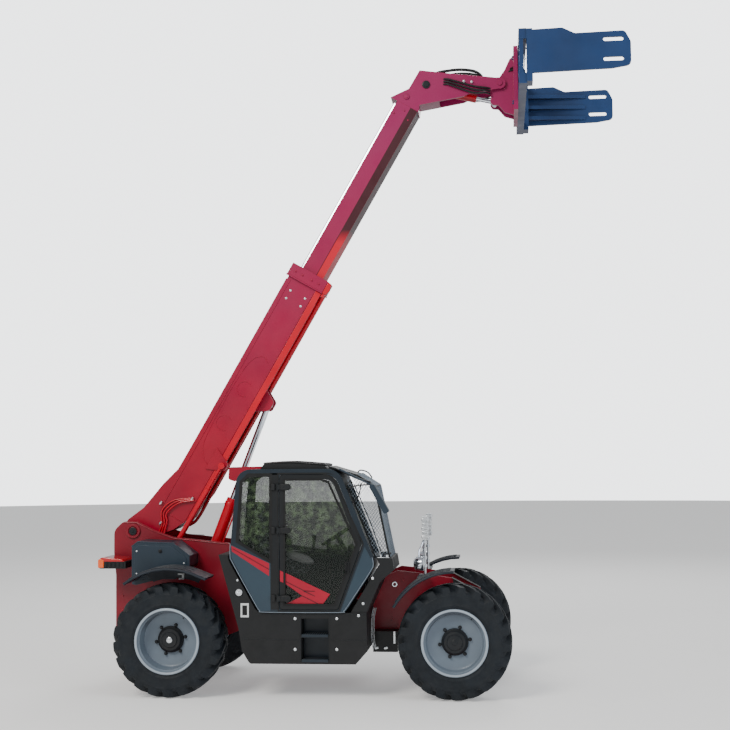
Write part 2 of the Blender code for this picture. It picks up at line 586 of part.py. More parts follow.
def make_cylinder(name, foot, eye, y, barrel_radius, barrel_end, rod_radius, rod_start, eye_radius, eye_half,
                  pin_radius):
    """Barrel with its foot eye on a pin, and a rod with a plain eye; lengths are counted from the foot pin."""
    foot3, eye3 = Vector((foot[0], y, foot[1])), Vector((eye[0], y, eye[1]))
    along = (eye3 - foot3).normalized()
    barrel = rod(name + "_barrel", foot3 + along * eye_radius * 0.6, foot3 + along * barrel_end, barrel_radius, 18)
    reach = (eye3 - foot3).length - eye_radius * 0.6
    add(barrel, cross_pin("foot_eye", foot, eye_radius, y - eye_half, y + eye_half))
    cut(barrel, pin_hole(foot, pin_radius),
        rod("bore", foot3 + along * BORE_FLOOR, foot3 + along * (barrel_end + 0.1), rod_radius + RUN, 14))
    shaft = rod(name + "_rod", foot3 + along * rod_start, foot3 + along * reach, rod_radius, 14)
    add(shaft, cross_pin("rod_eye", eye, eye_radius, y - eye_half, y + eye_half))
    return barrel, shaft


def make_hose_tube():
    """Red pipe under the outer boom, from the lift bracket to the collar."""
    start, end = on_boom(2.14, -0.505), on_boom(OUTER_LENGTH - 0.15 - FIT, -0.505)
    pipe = rod("boom_pipe", (start[0], 0, start[1]), (end[0], 0, end[1]), 0.030, 12)
    saddle = boom_outline([(2.20, OUTER_BOTTOM - FIT), (2.28, OUTER_BOTTOM - FIT), (2.28, -0.51), (2.20, -0.51)])
    return add(pipe, plate("saddle", saddle, -0.035, 0.035))


# ---- carriage and clamp --------------------------------------------------------------------------
CARRIAGE_FACE = CLAMP_BACK_X - FIT
CARRIAGE_BACK = CARRIAGE_FACE - 0.045


def make_carriage():
    carriage = block("carriage", (CARRIAGE_BACK, -0.40, 6.30), (CARRIAGE_FACE, 0.40, 7.01))
    ear = [(CARRIAGE_BACK + 0.01, 6.99), (3.66, 6.95), (3.604, 6.829), (3.545, 6.745)]
    ear += arc(HEAD_PIVOT, 0.066, 110, 200, 4) + [(3.455, 6.56)]
    ear += arc(TILT_EYE, 0.052, 160, 250, 4) + [(3.53, 6.43), (3.60, 6.345), (CARRIAGE_BACK + 0.01, 6.31)]
    for side in (-1, 1):
        add(carriage, plate("carriage_ear", ear, *span(side, 0.075, 0.108)))
    return add(carriage, cross_pin("carriage_pin", HEAD_PIVOT, CARRIAGE_PIN, -HEAD_HALF_WIDTH - 0.012,
                                   HEAD_HALF_WIDTH + 0.012))


RAIL_FRONT_X = 3.83
ARM_BACK_X = RAIL_FRONT_X + FIT


def make_clamp_frame():
    half = CLAMP_HALF_WIDTH - 0.02
    frame = block("clamp_frame", (CLAMP_BACK_X, -half, 6.86), (RAIL_FRONT_X, half, 6.97))
    add(frame, block("lower_rail", (CLAMP_BACK_X, -half, 6.385), (RAIL_FRONT_X, half, 6.495)))
    for y in (-half + 0.006, -0.56, -0.03, 0.50, half - 0.066):
        add(frame, block("post", (CLAMP_BACK_X + 0.005, y, 6.44), (RAIL_FRONT_X - 0.035, y + 0.06, 6.91)))
    return frame


def make_clamp_arm(name):
    side = -1
    outline = rounded([(ARM_BACK_X + 0.02, 6.485), (ARM_BACK_X + 0.02, 6.945), (4.20, 6.955, 0.05), (4.33, 6.89, 0.05),
                       (CLAMP_TIP_X - 0.06, 6.90, 0.05), (CLAMP_TIP_X, 6.78, 0.06), (CLAMP_TIP_X, 6.535, 0.05),
                       (4.71, 6.505, 0.05)], 3)
    outer = CLAMP_HALF_WIDTH
    arm = plate(name, outline, *span(side, outer - 0.03, outer))
    for z in (6.815, 6.605):
        slot = rounded([(4.62, z - 0.022, 0.02), (4.83, z - 0.022, 0.02), (4.83, z + 0.022, 0.02),
                        (4.62, z + 0.022, 0.02)], 3)
        cut(arm, plate("slot", slot, *span(side, outer - 0.1, outer + 0.1)))
    add(arm, block("slide_shoe", (ARM_BACK_X, span(side, outer - 0.20, outer)[0], 6.40),
                   (ARM_BACK_X + 0.06, span(side, outer - 0.20, outer)[1], 6.96)))
    for z in (6.56, 6.69, 6.82):
        rib = bmesh.new()
        ends = []
        for x, depth in ((ARM_BACK_X + 0.043, 0.13), (4.577, 0.045)):
            ends.append([rib.verts.new((x, side * (outer - y), z + dz)) for y, dz in
                         ((0.017, -0.02), (depth, -0.02), (depth, 0.02), (0.017, 0.02))])
        rib.faces.new(ends[0])
        rib.faces.new(ends[1])
        for i in range(4):
            j = (i + 1) % 4
            rib.faces.new([ends[0][i], ends[0][j], ends[1][j], ends[1][i]])
        add(arm, piece_from("rib", rib))
    return arm


# ---- colours -------------------------------------------------------------------------------------
COLOURS = {                        # linear red, green, blue, roughness, metallic
    "red_paint": (0.42, 0.012, 0.035, 0.35, 0.0),
    "bright_red": (0.75, 0.01, 0.012, 0.35, 0.0),
    "grey_paint": (0.045, 0.075, 0.095, 0.4, 0.0),
    "black_plastic": (0.012, 0.014, 0.016, 0.6, 0.0),
    "rim_grey": (0.35, 0.40, 0.45, 0.4, 0.0),
    "tyre_rubber": (0.015, 0.017, 0.02, 0.85, 0.0),
    "chrome": (0.7, 0.7, 0.72, 0.12, 1.0),
    "navy_paint": (0.02, 0.05, 0.11, 0.4, 0.0),
    "glass": (0.5, 0.6, 0.58, 0.05, 0.0),
    "seat_cloth": (0.25, 0.26, 0.27, 0.9, 0.0),
    "cast_iron": (0.03, 0.03, 0.03, 0.6, 0.3),
}


def paint(colour, *pieces):
    material = bpy.data.materials.get(colour)
    if material is None:
        red, green, blue, roughness, metallic = COLOURS[colour]
        material = bpy.data.materials.new(colour)
        material.use_nodes = True
        shader = material.node_tree.nodes["Principled BSDF"]
        shader.inputs["Base Color"].default_value = (red, green, blue, 1.0)
        shader.inputs["Roughness"].default_value = roughness
        shader.inputs["Metallic"].default_value = metallic
    for piece in pieces:
        piece.data.materials.clear()
        piece.data.materials.append(material)


def carrier(name, location, parent, pieces):
    """Empty on a joint's axis that carries the pieces of one body."""
    empty = bpy.data.objects.new(name, None)
    bpy.context.scene.collection.objects.link(empty)
    empty.location = location
    empty.parent = parent
    for piece in pieces:
        piece.parent = empty
        piece.location = -Vector(location)
    return empty


def build():
    for leftover in list(bpy.data.objects):
        bpy.data.objects.remove(leftover)
    machine = carrier("machine", (0, 0, 0), None, [])
    machine.location.x = -CENTRE_X

    frame = make_chassis_frame()
    boxes = [make_service_box("service_box", -1), make_service_box("hydraulic_tank", 1)]
    lamps = make_rear_lamp_bar()
    stalks = [make_lamp_stalk("near_lamp_stalk", -1), make_lamp_stalk("far_lamp_stalk", 1)]
    fenders = []
    for place, side in (("near", -1), ("far", 1)):
        fenders.append(make_fender(f"rear_{place}_fender", 0.0, side, 0.765, 68, 128, 0.14))
        fenders.append(make_fender(f"front_{place}_fender", WHEELBASE, side, 0.735, 90, 150, 0.0))
    tank, cowl, hood = make_under_cab(), make_cowl(), make_engine_hood()
    engine = block("engine_block", (1.0, FRAME_OUTER + 2 * FIT, 0.62), (1.85, 0.98, 1.15))
    valve = block("valve_block", (2.106, -0.52, 0.41), (2.37, -0.10, 0.63 - FIT))
    cab, roof = make_cab_frame(), make_cab_roof()
    panes = [make_windscreen(), *make_cab_glass()]
    guard, mirror, bar = make_windscreen_guard(), make_mirror(), make_boom_side_bar()
    seat_base, cushion, seat_back = make_seat()
    dash = make_dashboard()
    rear_axle, front_axle = make_axle("rear_axle", 0.0), make_axle("front_axle", WHEELBASE)
    carrier("chassis", (0, 0, 0), machine,
            [frame, *boxes, lamps, *stalks, *fenders, tank, cowl, hood, engine, valve, cab, roof, *panes, guard,
             mirror, bar, seat_base, cushion, seat_back, dash, rear_axle, front_axle])
    paint("red_paint", frame, bar)
    paint("grey_paint", *boxes, cab)
    paint("black_plastic", lamps, *fenders, tank, cowl, valve, roof, guard, dash, *stalks, seat_base)
    paint("navy_paint", mirror)
    paint("bright_red", hood)
    paint("cast_iron", engine, rear_axle, front_axle)
    paint("glass", *panes)
    paint("seat_cloth", cushion, seat_back)

    for end, x in (("rear", 0.0), ("front", WHEELBASE)):
        for place, side in (("near", -1), ("far", 1)):
            knuckle = make_knuckle(f"{end}_{place}_knuckle", x, side)
            tyre = make_tyre(f"{end}_{place}_tyre", x, side)
            rim = make_rim(f"{end}_{place}_rim", x, side)
            kingpin = (x, side * KINGPIN_Y, TYRE_RADIUS)
            steer = carrier(f"{end}_{place}_kingpin", kingpin, machine, [knuckle])
            centre = (x, side * TRACK_HALF, TYRE_RADIUS)
            hub = carrier(f"{end}_{place}_hub", centre, machine, [tyre, rim])
            paint("cast_iron", knuckle)
            paint("tyre_rubber", tyre)
            paint("rim_grey", rim)
            steer.empty_display_size = hub.empty_display_size = 0.3

    door_frame, door_glass = make_door()
    carrier("door_hinge", (HINGE_X, HINGE_Y, 1.6), machine, [door_frame, door_glass])
    paint("black_plastic", door_frame)
    paint("glass", door_glass)

    pivot = (BOOM_PIVOT[0], 0, BOOM_PIVOT[1])
    boom, pipe = make_boom_outer(), make_hose_tube()
    inner, slide_rod, head = make_boom_inner(), make_extension_rod(), make_boom_head()
    carrier("boom_pivot", pivot, machine, [boom, pipe])
    carrier("boom_slide", pivot, machine, [inner, slide_rod, head])
    paint("red_paint", boom, inner, head)
    paint("bright_red", pipe)
    paint("chrome", slide_rod)

    lift = make_cylinder("lift", LIFT_FOOT, on_boom(*LIFT_EYE), 0.0, 0.065, 1.26, 0.035, 1.185, 0.050, 0.062,
                         LIFT_PIN)
    comp = make_cylinder("comp", COMP_FOOT, on_boom(*COMP_EYE), COMP_Y, 0.030, 0.66, 0.017, 0.36, 0.032, 0.029,
                         COMP_PIN)
    tilt = make_cylinder("tilt", TILT_FOOT, TILT_EYE, 0.0, 0.048, 0.58, 0.024, 0.24, 0.042, 0.045, TILT_PIN)
    for (barrel, shaft), foot in ((lift, LIFT_FOOT), (comp, COMP_FOOT), (tilt, TILT_FOOT)):
        y = COMP_Y if barrel is comp[0] else 0.0
        carrier(barrel.name + "_pin", (foot[0], y, foot[1]), machine, [barrel])
        carrier(shaft.name + "_slide", (foot[0], y, foot[1]), machine, [shaft])
        paint("bright_red", barrel)
        paint("chrome", shaft)

    head_pin = (HEAD_PIVOT[0], 0, HEAD_PIVOT[1])
    carriage, clamp = make_carriage(), make_clamp_frame()
    carrier("carriage_pin", head_pin, machine, [carriage, clamp])
    near_arm = make_clamp_arm("near_clamp_arm")
    far_arm = mirrored("far_clamp_arm", near_arm)
    carrier("near_arm_slide", head_pin, machine, [near_arm])
    carrier("far_arm_slide", head_pin, machine, [far_arm])
    paint("red_paint", carriage)
    paint("navy_paint", clamp, near_arm, far_arm)


build()
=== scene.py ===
import math

import bmesh
import bpy
from mathutils import Matrix, Vector


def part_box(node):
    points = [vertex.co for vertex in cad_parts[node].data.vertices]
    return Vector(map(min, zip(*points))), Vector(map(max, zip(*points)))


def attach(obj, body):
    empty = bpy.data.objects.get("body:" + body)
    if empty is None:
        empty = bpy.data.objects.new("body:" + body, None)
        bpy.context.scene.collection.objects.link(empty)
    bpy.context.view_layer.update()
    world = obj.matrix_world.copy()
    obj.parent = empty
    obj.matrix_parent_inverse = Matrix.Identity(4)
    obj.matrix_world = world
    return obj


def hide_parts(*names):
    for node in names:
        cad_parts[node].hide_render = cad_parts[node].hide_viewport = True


# Telehandler with a bale clamp. Heights are above the ground, and a piece's x is counted from the
# rear axle, then moved to its place by atPoint().

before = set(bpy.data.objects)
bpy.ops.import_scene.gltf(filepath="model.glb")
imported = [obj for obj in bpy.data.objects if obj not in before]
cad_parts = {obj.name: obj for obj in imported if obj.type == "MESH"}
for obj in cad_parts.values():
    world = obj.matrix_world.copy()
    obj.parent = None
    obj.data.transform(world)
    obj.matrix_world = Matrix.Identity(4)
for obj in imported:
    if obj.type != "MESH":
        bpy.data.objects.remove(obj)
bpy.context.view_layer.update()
print("frame loaded:", len(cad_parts), "nodes")


def middle(node):
    low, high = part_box(node)
    return (Vector(low) + Vector(high)) / 2


rearAxleX = middle("rear_near_tyre").x
frontAxleX = middle("front_near_tyre").x - rearAxleX
tyreRadius = (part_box("rear_near_tyre")[1][2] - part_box("rear_near_tyre")[0][2]) / 2
wheelY = abs(middle("rear_near_tyre").y)
boomPivot = (-0.585, 1.692)
bothSides = ((-1, "near"), (1, "far"))                     # -Y is the near side
boomAngle = math.radians(60.0)


def atPoint(x, y, z):
    return Vector((x + rearAxleX, y, z))


def onBoom(along, above, y=0.0):
    ahead = (math.cos(boomAngle), math.sin(boomAngle))
    return atPoint(boomPivot[0] + along * ahead[0] - above * ahead[1], y,
                   boomPivot[1] + along * ahead[1] + above * ahead[0])


# Materials
def linear(hexCode):
    parts = [int(hexCode[i:i + 2], 16) / 255 for i in (1, 3, 5)]
    return tuple(p / 12.92 if p <= 0.04045 else ((p + 0.055) / 1.055) ** 2.4 for p in parts) + (1.0,)


def addNode(tree, kind, settings=None, links=None):
    node = tree.nodes.new(kind)
    for name, value in (settings or {}).items():
        if isinstance(name, int) or name in node.inputs:
            node.inputs[name].default_value = value
        else:
            setattr(node, name, value)
    for name, source in (links or {}).items():
        tree.links.new(source, node.inputs[name])
    return node


# A bare shader, and the values that say where its layers lie: place, height, which way the face looks,
# and noise patterns, each with its blotch size in mm, its detail and its roughness.
def startMaterial(name, settings, patterns=None):
    material = bpy.data.materials.new(name)
    material.use_nodes = True
    tree = material.node_tree
    tree.nodes.clear()
    shader = addNode(tree, "ShaderNodeBsdfPrincipled", settings)
    addNode(tree, "ShaderNodeOutputMaterial", links={"Surface": shader.outputs[0]})
    coords = addNode(tree, "ShaderNodeTexCoord")
    at = {"place": coords.outputs["Object"]}
    for label, source in (("height", "Object"), ("facing", "Normal")):
        at[label] = addNode(tree, "ShaderNodeSeparateXYZ", links={0: coords.outputs[source]}).outputs[2]
    for label, (sizeMm, detail, rough) in (patterns or {}).items():
        at[label] = addNode(tree, "ShaderNodeTexNoise",
                            {"Scale": 1000.0 / sizeMm, "Detail": detail, "Roughness": rough},
                            {"Vector": at["place"]}).outputs["Fac"]
    return material, tree, shader, at


# Values over a colour: each layer is a colour and its masks (value, from, to, and the mask's two ends
# if they aren't 0 and 1), which are multiplied.
def layered(tree, base, layers):
    for colour, masks in layers:
        share = None
        for value, low, high, *ends in masks:
            outLow, outHigh = ends or (0.0, 1.0)
            mask = addNode(tree, "ShaderNodeMapRange",
                           {"From Min": low, "From Max": high, "To Min": outLow, "To Max": outHigh},
                           {"Value": value}).outputs[0]
            share = mask if share is None else addNode(tree, "ShaderNodeMath", {"operation": "MULTIPLY"},
                                                       {0: share, 1: mask}).outputs[0]
        mix = addNode(tree, "ShaderNodeMix", {"data_type": "RGBA", 7: linear(colour)}, {0: share})
        if isinstance(base, str):
            mix.inputs[6].default_value = linear(base)
        else:
            tree.links.new(base, mix.inputs[6])
        base = mix.outputs[2]
    return base


# Joins a colour, a roughness that drifts between two ends, and a bump to a shader.
def finishMaterial(tree, shader, colour, drift=None, bump=None):
    tree.links.new(colour, shader.inputs["Base Color"])
    if drift:
        value, low, high, smooth, dull = drift
        matt = addNode(tree, "ShaderNodeMapRange",
                       {"From Min": low, "From Max": high, "To Min": smooth, "To Max": dull}, {"Value": value})
        tree.links.new(matt.outputs[0], shader.inputs["Roughness"])
    if bump:
        strength, distance, links = bump
        relief = addNode(tree, "ShaderNodeBump", {"Strength": strength, "Distance": distance}, links)
        tree.links.new(relief.outputs[0], shader.inputs["Normal"])


# Two-pack enamel sprayed on steel: slow colour drift, orange peel, a painted highlight on the edges that
# noise breaks into patches, dust low down and painted shade on the faces that look down.
def paintedSteel(name, colour, shade, edge, roughness=0.36, dust=0.3, dustColour="#6d625a", peelMm=14.0,
                 coat=0.12, blotchMm=520.0, bevelMm=3.0, skyTintColour=None, band=None, undersideShade=0.55):
    material, tree, shader, at = startMaterial(
        name, {"Coat Weight": coat, "Coat Roughness": 0.12, "Specular IOR Level": 0.32},
        {"blotch": (blotchMm, 4.0, 0.5), "highlightPatches": (60.0, 3.0, 0.5), "dirt": (180.0, 6.0, 0.65),
         "matt": (240.0, 5.0, 0.6), "peel": (peelMm, 2.0, 0.5)})
    layers = [(shade, [(at["blotch"], 0.35, 0.7)])]
    if skyTintColour:                                          # painted sky reflection: the boom's colour turns violet with height
        layers.append((skyTintColour, [(at["height"], 2.6, 6.2)]))
    if band:                                                # painted reflection: a bright strip along the inner boom's lower edge; painted shade darkens that edge above the strip and beyond its end
        across = Vector((-math.sin(boomAngle), 0, math.cos(boomAngle)))
        edgeAt = across.dot(atPoint(boomPivot[0], 0, boomPivot[1])) - 0.352
        depth = addNode(tree, "ShaderNodeVectorMath", {"operation": "DOT_PRODUCT", 1: across},
                        {0: at["place"]}).outputs["Value"]
        # painted shade: dark red-violet from just above the lower edge line; painted reflection: the bright strip
        # below it, up to 4.9 m high
        layers += [("#3c0616", [(depth, edgeAt + 0.008, edgeAt + 0.006)]),
                   (band, [(depth, edgeAt, edgeAt - 0.002), (at["height"], 5.05, 4.9)])]
    rounded = addNode(tree, "ShaderNodeBevel", {"samples": 4, "Radius": bevelMm / 1000.0}).outputs[0]
    normal = addNode(tree, "ShaderNodeNewGeometry").outputs["Normal"]
    turn = addNode(tree, "ShaderNodeVectorMath", {"operation": "DOT_PRODUCT"}, {0: rounded, 1: normal})
    # painted highlight: a lighter tint of the paint on every edge, broken into patches by noise
    layers += [(edge, [(turn.outputs["Value"], 0.995, 0.90), (at["highlightPatches"], 0.35, 0.65, 0.35, 1.0)]),
               (dustColour, [(at["height"], 1.3, 0.2), (at["dirt"], 0.38, 0.72, 0.0, dust)]),
               # painted shade: faces that look down are darkened towards #1a0d12
               ("#1a0d12", [(at["facing"], -0.25, -0.6, 0.0, undersideShade)])]
    finishMaterial(tree, shader, layered(tree, colour, layers),
                   (at["matt"], 0.3, 0.75, roughness - 0.07, roughness + 0.12),
                   (0.05, 0.0006, {"Height": at["peel"], "Normal": rounded}))
    return material


# Injection-moulded black polypropylene: leather-like grain (drawn 3 mm so that it shows), chalky dust
def mouldedPlastic(name, colour, shade, roughness=0.55, grainMm=3.0, grain=0.25, dust=0.25):
    material, tree, shader, at = startMaterial(
        name, {"Specular IOR Level": 0.4},
        {"blotch": (300.0, 4.0, 0.5), "dirt": (150.0, 6.0, 0.7), "matt": (120.0, 4.0, 0.5)})
    layers = [(shade, [(at["blotch"], 0.35, 0.7)]),
              ("#5d5650", [(at["height"], 1.4, 0.2), (at["dirt"], 0.0, 1.0, 0.0, dust)])]
    cells = addNode(tree, "ShaderNodeTexVoronoi", {"Scale": 1000.0 / grainMm}, {"Vector": at["place"]})
    finishMaterial(tree, shader, layered(tree, colour, layers),
                   (at["matt"], 0.3, 0.7, roughness - 0.08, roughness + 0.1),
                   (grain, 0.0004, {"Height": cells.outputs[0]}))
    return material


# Carbon-black tyre rubber: dull, faint moulding bloom, grey dust in patches
def tyreRubber(name):
    material, tree, shader, at = startMaterial(
        name, {"Specular IOR Level": 0.35},
        {"blotch": (260.0, 5.0, 0.6), "dirt": (70.0, 6.0, 0.7), "matt": (90.0, 4.0, 0.5),
         "grit": (9.0, 5.0, 0.65)})
    layers = [("#131b23", [(at["blotch"], 0.35, 0.7)]), ("#3a3937", [(at["dirt"], 0.5, 0.8, 0.0, 0.16)])]
    finishMaterial(tree, shader, layered(tree, "#0c1319", layers), (at["matt"], 0.3, 0.7, 0.55, 0.8),
                   (0.2, 0.001, {"Height": at["grit"]}))
    return material


# Ground and plated steel: metallic, with faint turning marks and a little bloom
def bareMetal(name, colour, shade, roughness, scratchMm=25.0, coat=0.0):
    material, tree, shader, at = startMaterial(name, {"Metallic": 1.0, "Coat Weight": coat},
                                               {"bloom": (140.0, 4.0, 0.5), "marks": (scratchMm, 6.0, 0.7)})
    finishMaterial(tree, shader, layered(tree, colour, [(shade, [(at["bloom"], 0.35, 0.7)])]),
                   (at["marks"], 0.3, 0.75, roughness * 0.6, roughness * 1.6))
    return material


# Tempered, tinted safety glass: its upper half is blotched green, as if it mirrored a tree line
def cabGlass(name, colour, light, alpha):
    material, tree, shader, at = startMaterial(
        name, {"Roughness": 0.05, "Alpha": alpha, "IOR": 1.5, "Specular IOR Level": 0.4},
        {"leaves": (62.0, 7.0, 0.7)})
    leaves = [(light, [(at["leaves"], 0.44, 0.66), (at["height"], 1.45, 1.75)])]
    finishMaterial(tree, shader, layered(tree, colour, leaves))
    return material


# Ribbed acrylic lamp lens: ribs 8 mm apart under a smooth gloss
def lensPlastic(name, colour, glow):
    material, tree, shader, at = startMaterial(name, {"Base Color": linear(colour), "Roughness": 0.12,
                                                      "Coat Weight": 0.5, "Emission Color": linear(colour),
                                                      "Emission Strength": glow})
    ribs = addNode(tree, "ShaderNodeTexWave", {"Scale": 1000.0 / 8.0 / (2 * math.pi), "bands_direction": "Z"},
                   {"Vector": at["place"]})
    relief = addNode(tree, "ShaderNodeBump", {"Strength": 0.35, "Distance": 0.001},
                     {"Height": ribs.outputs["Fac"]})
    tree.links.new(relief.outputs[0], shader.inputs["Normal"])
    return material


# Woven polyester seat cover: 6 mm basket weave (real threads are 1 mm), speckled light grey on charcoal
def wovenSeat(name):
    material, tree, shader, at = startMaterial(
        name, {"Roughness": 0.9, "Sheen Weight": 0.35, "Sheen Roughness": 0.5}, {"speck": (26.0, 3.0, 0.6)})
    threads = [addNode(tree, "ShaderNodeTexWave",
                       {"Scale": 1000.0 / 6.0 / (2 * math.pi), "bands_direction": direction},
                       {"Vector": at["place"]}).outputs["Fac"] for direction in ("X", "Z")]
    weave = addNode(tree, "ShaderNodeMath", {"operation": "MULTIPLY"}, {0: threads[0], 1: threads[1]})
    finishMaterial(tree, shader, layered(tree, "#3c434a", [("#a9b2b8", [(at["speck"], 0.52, 0.6)])]),
                   bump=(0.5, 0.001, {"Height": weave.outputs[0]}))
    return material


finishes = {
    # the third colour of each enamel is its painted edge highlight
    "boomEnamel": paintedSteel("boomEnamel", "#a5072b", "#8e0526", "#cf2f48", dust=0.06,
                               # painted sky reflection: violet towards the top of the boom
                               skyTintColour="#8f1550"),
    "innerEnamel": paintedSteel("innerEnamel", "#a5072b", "#8e0526", "#cf2f48", dust=0.0,
                                skyTintColour="#8f1550",
                                # painted reflection: the bright strip along the inner boom's lower edge
                                band="#c80428"),
    "frameEnamel": paintedSteel("frameEnamel", "#8e0a24", "#760820", "#c82c42", dust=0.10),
    "cylinderEnamel": paintedSteel("cylinderEnamel", "#cf0024", "#bb001f", "#f04050", roughness=0.34,
                                   dust=0.0),
    "cabEnamel": paintedSteel("cabEnamel", "#16242f", "#121e28", "#4d6272", roughness=0.4, dust=0.05),
    "panelEnamel": paintedSteel("panelEnamel", "#2a3d4a", "#253642", "#5c7484", roughness=0.4, dust=0.06),
    "boxEnamel": paintedSteel("boxEnamel", "#243441", "#1d2b37", "#6c7f8e", roughness=0.42, dust=0.05),
    "clampEnamel": paintedSteel("clampEnamel", "#163866", "#122e56", "#4a74a8", roughness=0.45, dust=0.0),
    "rimEnamel": paintedSteel("rimEnamel", "#717e8b", "#606d7a", "#b4c0cb", roughness=0.45, dust=0.10,
                              bevelMm=2.0),
    # painted highlight on the rims' lip ring; also the pale grey of the arm bar and hood trim
    "paleGreyEnamel": paintedSteel("paleGreyEnamel", "#a3afba", "#939fab", "#dbe3ea", roughness=0.4, dust=0.08),
    "blackEnamel": paintedSteel("blackEnamel", "#080c0f", "#0c1115", "#272f36", roughness=0.45, dust=0.04),
    "castEnamel": paintedSteel("castEnamel", "#0b1116", "#10171d", "#2c343b", roughness=0.62, dust=0.12,
                               peelMm=7.0),
    "stripeFilm": paintedSteel("stripeFilm", "#a80c2c", "#980a28", "#b02a42", roughness=0.34, dust=0.03),
    "stripeLine": paintedSteel("stripeLine", "#4c0818", "#440716", "#5a1020", roughness=0.38, dust=0.03),
    "blackPlastic": mouldedPlastic("blackPlastic", "#070a0d", "#0b0f13", dust=0.06),
    "fenderPlastic": mouldedPlastic("fenderPlastic", "#141f2b", "#101a25", roughness=0.45, grain=0.15,
                                    dust=0.06),
    "hoseRubber": mouldedPlastic("hoseRubber", "#0a0c0e", "#101214", roughness=0.5, grainMm=5.0, dust=0.05),
    "sealRubber": mouldedPlastic("sealRubber", "#050708", "#090b0d", roughness=0.7, grain=0.1, dust=0.05),
    "tyreRubber": tyreRubber("tyreRubber"),
    "hardChrome": bareMetal("hardChrome", "#e9eef5", "#d3dae4", 0.14),
    "zincPlate": bareMetal("zincPlate", "#eceff1", "#cdd3d8", 0.3),
    "mirrorGlass": bareMetal("mirrorGlass", "#d5dbe0", "#c5cdd4", 0.03),
    "cabGlass": cabGlass("cabGlass", "#121a16", "#5c7050", 0.50),
    "redLens": lensPlastic("redLens", "#b4040e", 0.06),
    "amberLens": lensPlastic("amberLens", "#e85a06", 0.10),
    "clearLens": lensPlastic("clearLens", "#d5dde2", 0.05),
    "seatWeave": wovenSeat("seatWeave"),
    "whitePlastic": mouldedPlastic("whitePlastic", "#d9dcdc", "#c8cccc", roughness=0.4, grain=0.05,
                                   dust=0.04),
}

nodeFinish = {
    "boomEnamel": ["boom_outer", "boom_head", "carriage", "boom_side_bar"],
    "innerEnamel": ["boom_inner"],
    "frameEnamel": ["chassis_frame"],
    "cylinderEnamel": ["boom_pipe", "lift_barrel", "comp_barrel", "comp_rod", "tilt_barrel"],
    "cabEnamel": ["cab_frame"],
    "boxEnamel": ["service_box", "hydraulic_tank", "engine_hood", "cab_mirror"],
    "clampEnamel": ["clamp_frame", "near_clamp_arm", "far_clamp_arm"],
    "fenderPlastic": ["rear_near_fender", "rear_far_fender", "front_near_fender", "front_far_fender"],
    "blackPlastic": ["side_tank", "cowl", "cab_roof", "dashboard", "seat_base", "rear_lamp_bar"],
    "blackEnamel": ["engine_block", "valve_block", "windscreen_guard", "door_frame"],
    "castEnamel": ["rear_axle", "front_axle"] + [a + b + "_knuckle" for a in ("rear_", "front_")
                                                 for b in ("near", "far")],
    "rimEnamel": [a + b + "_rim" for a in ("rear_", "front_") for b in ("near", "far")],
    "tyreRubber": [a + b + "_tyre" for a in ("rear_", "front_") for b in ("near", "far")],
    "hardChrome": ["extension_rod", "lift_rod", "tilt_rod"],
    "zincPlate": ["near_lamp_stalk", "far_lamp_stalk"],
    "cabGlass": ["windscreen", "quarter_glass", "boom_side_glass", "rear_glass", "door_glass"],
    "seatWeave": ["seat_cushion", "seat_back"],
}
for finish, nodes in nodeFinish.items():
    for node in nodes:
        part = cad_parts[node]
        if not part.material_slots:
            part.data.materials.append(finishes[finish])
        for slot in part.material_slots:
            slot.material = finishes[finish]
print("finishes on the frame's nodes")


# Shape tools
crisp = 35.0                                                # degrees; sharper edges stay sharp


# Turn a bmesh or mesh into a finished piece that rides on a body
def finishPiece(name, shape, finish, body, smooth=40.0, bevel=0.0, segments=2, subdivide=0):
    if isinstance(shape, bmesh.types.BMesh):
        bmesh.ops.remove_doubles(shape, verts=shape.verts, dist=0.00002)
        bmesh.ops.recalc_face_normals(shape, faces=shape.faces)
        mesh = bpy.data.meshes.new(name)
        shape.to_mesh(mesh)
        shape.free()
    else:
        mesh = shape
    mesh.name = name
    mesh.materials.clear()
    mesh.materials.append(finishes[finish])
    for face in mesh.polygons:
        face.use_smooth = smooth > 0
    if smooth > 0:
        mesh.set_sharp_from_angle(angle=math.radians(smooth))
    piece = bpy.data.objects.new(name, mesh)
    bpy.context.scene.collection.objects.link(piece)
    if bevel > 0:
        edge = piece.modifiers.new("Bevel", "BEVEL")
        edge.width, edge.segments = bevel, segments
        edge.limit_method, edge.angle_limit = "ANGLE", math.radians(crisp)
    if subdivide:
        rounder = piece.modifiers.new("Subdivision", "SUBSURF")
        rounder.levels = rounder.render_levels = subdivide
    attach(piece, body)
    return piece


# Faces between two closed rings of as many points
def joinRings(shape, first, second):
    for i in range(len(first)):
        j = (i + 1) % len(first)
        shape.faces.new([first[i], first[j], second[j], second[i]])


# Box between two corners, x counted from the rear axle
def addBox(shape, low, high):
    corners = [atPoint(x, y, z) for z in (low[2], high[2]) for y in (low[1], high[1]) for x in (low[0],
                                                                                                high[0])]
    verts = [shape.verts.new(c) for c in corners]
    for face in ((0, 2, 3, 1), (4, 5, 7, 6), (0, 1, 5, 4), (2, 6, 7, 3), (0, 4, 6, 2), (1, 3, 7, 5)):
        shape.faces.new([verts[i] for i in face])
    return shape


# Flat plate with an outline of (x, z) points, or of points along and above the boom when place is boomPlace
def addPlate(shape, outline, yFirst, ySecond, place=atPoint):
    loops = [[shape.verts.new(place(x, y, z)) for x, z in outline] for y in sorted((yFirst, ySecond))]
    shape.faces.new(loops[0])
    shape.faces.new(loops[1])
    joinRings(shape, *loops)
    return shape


def boomPlace(along, y, above):
    return onBoom(along, above, y)


def frameAround(direction):
    ahead = direction.normalized()
    side = ahead.cross(Vector((0, 1, 0)))
    if side.length < 0.05:
        side = ahead.cross(Vector((1, 0, 0)))
    side.normalize()
    return ahead, side, ahead.cross(side).normalized()


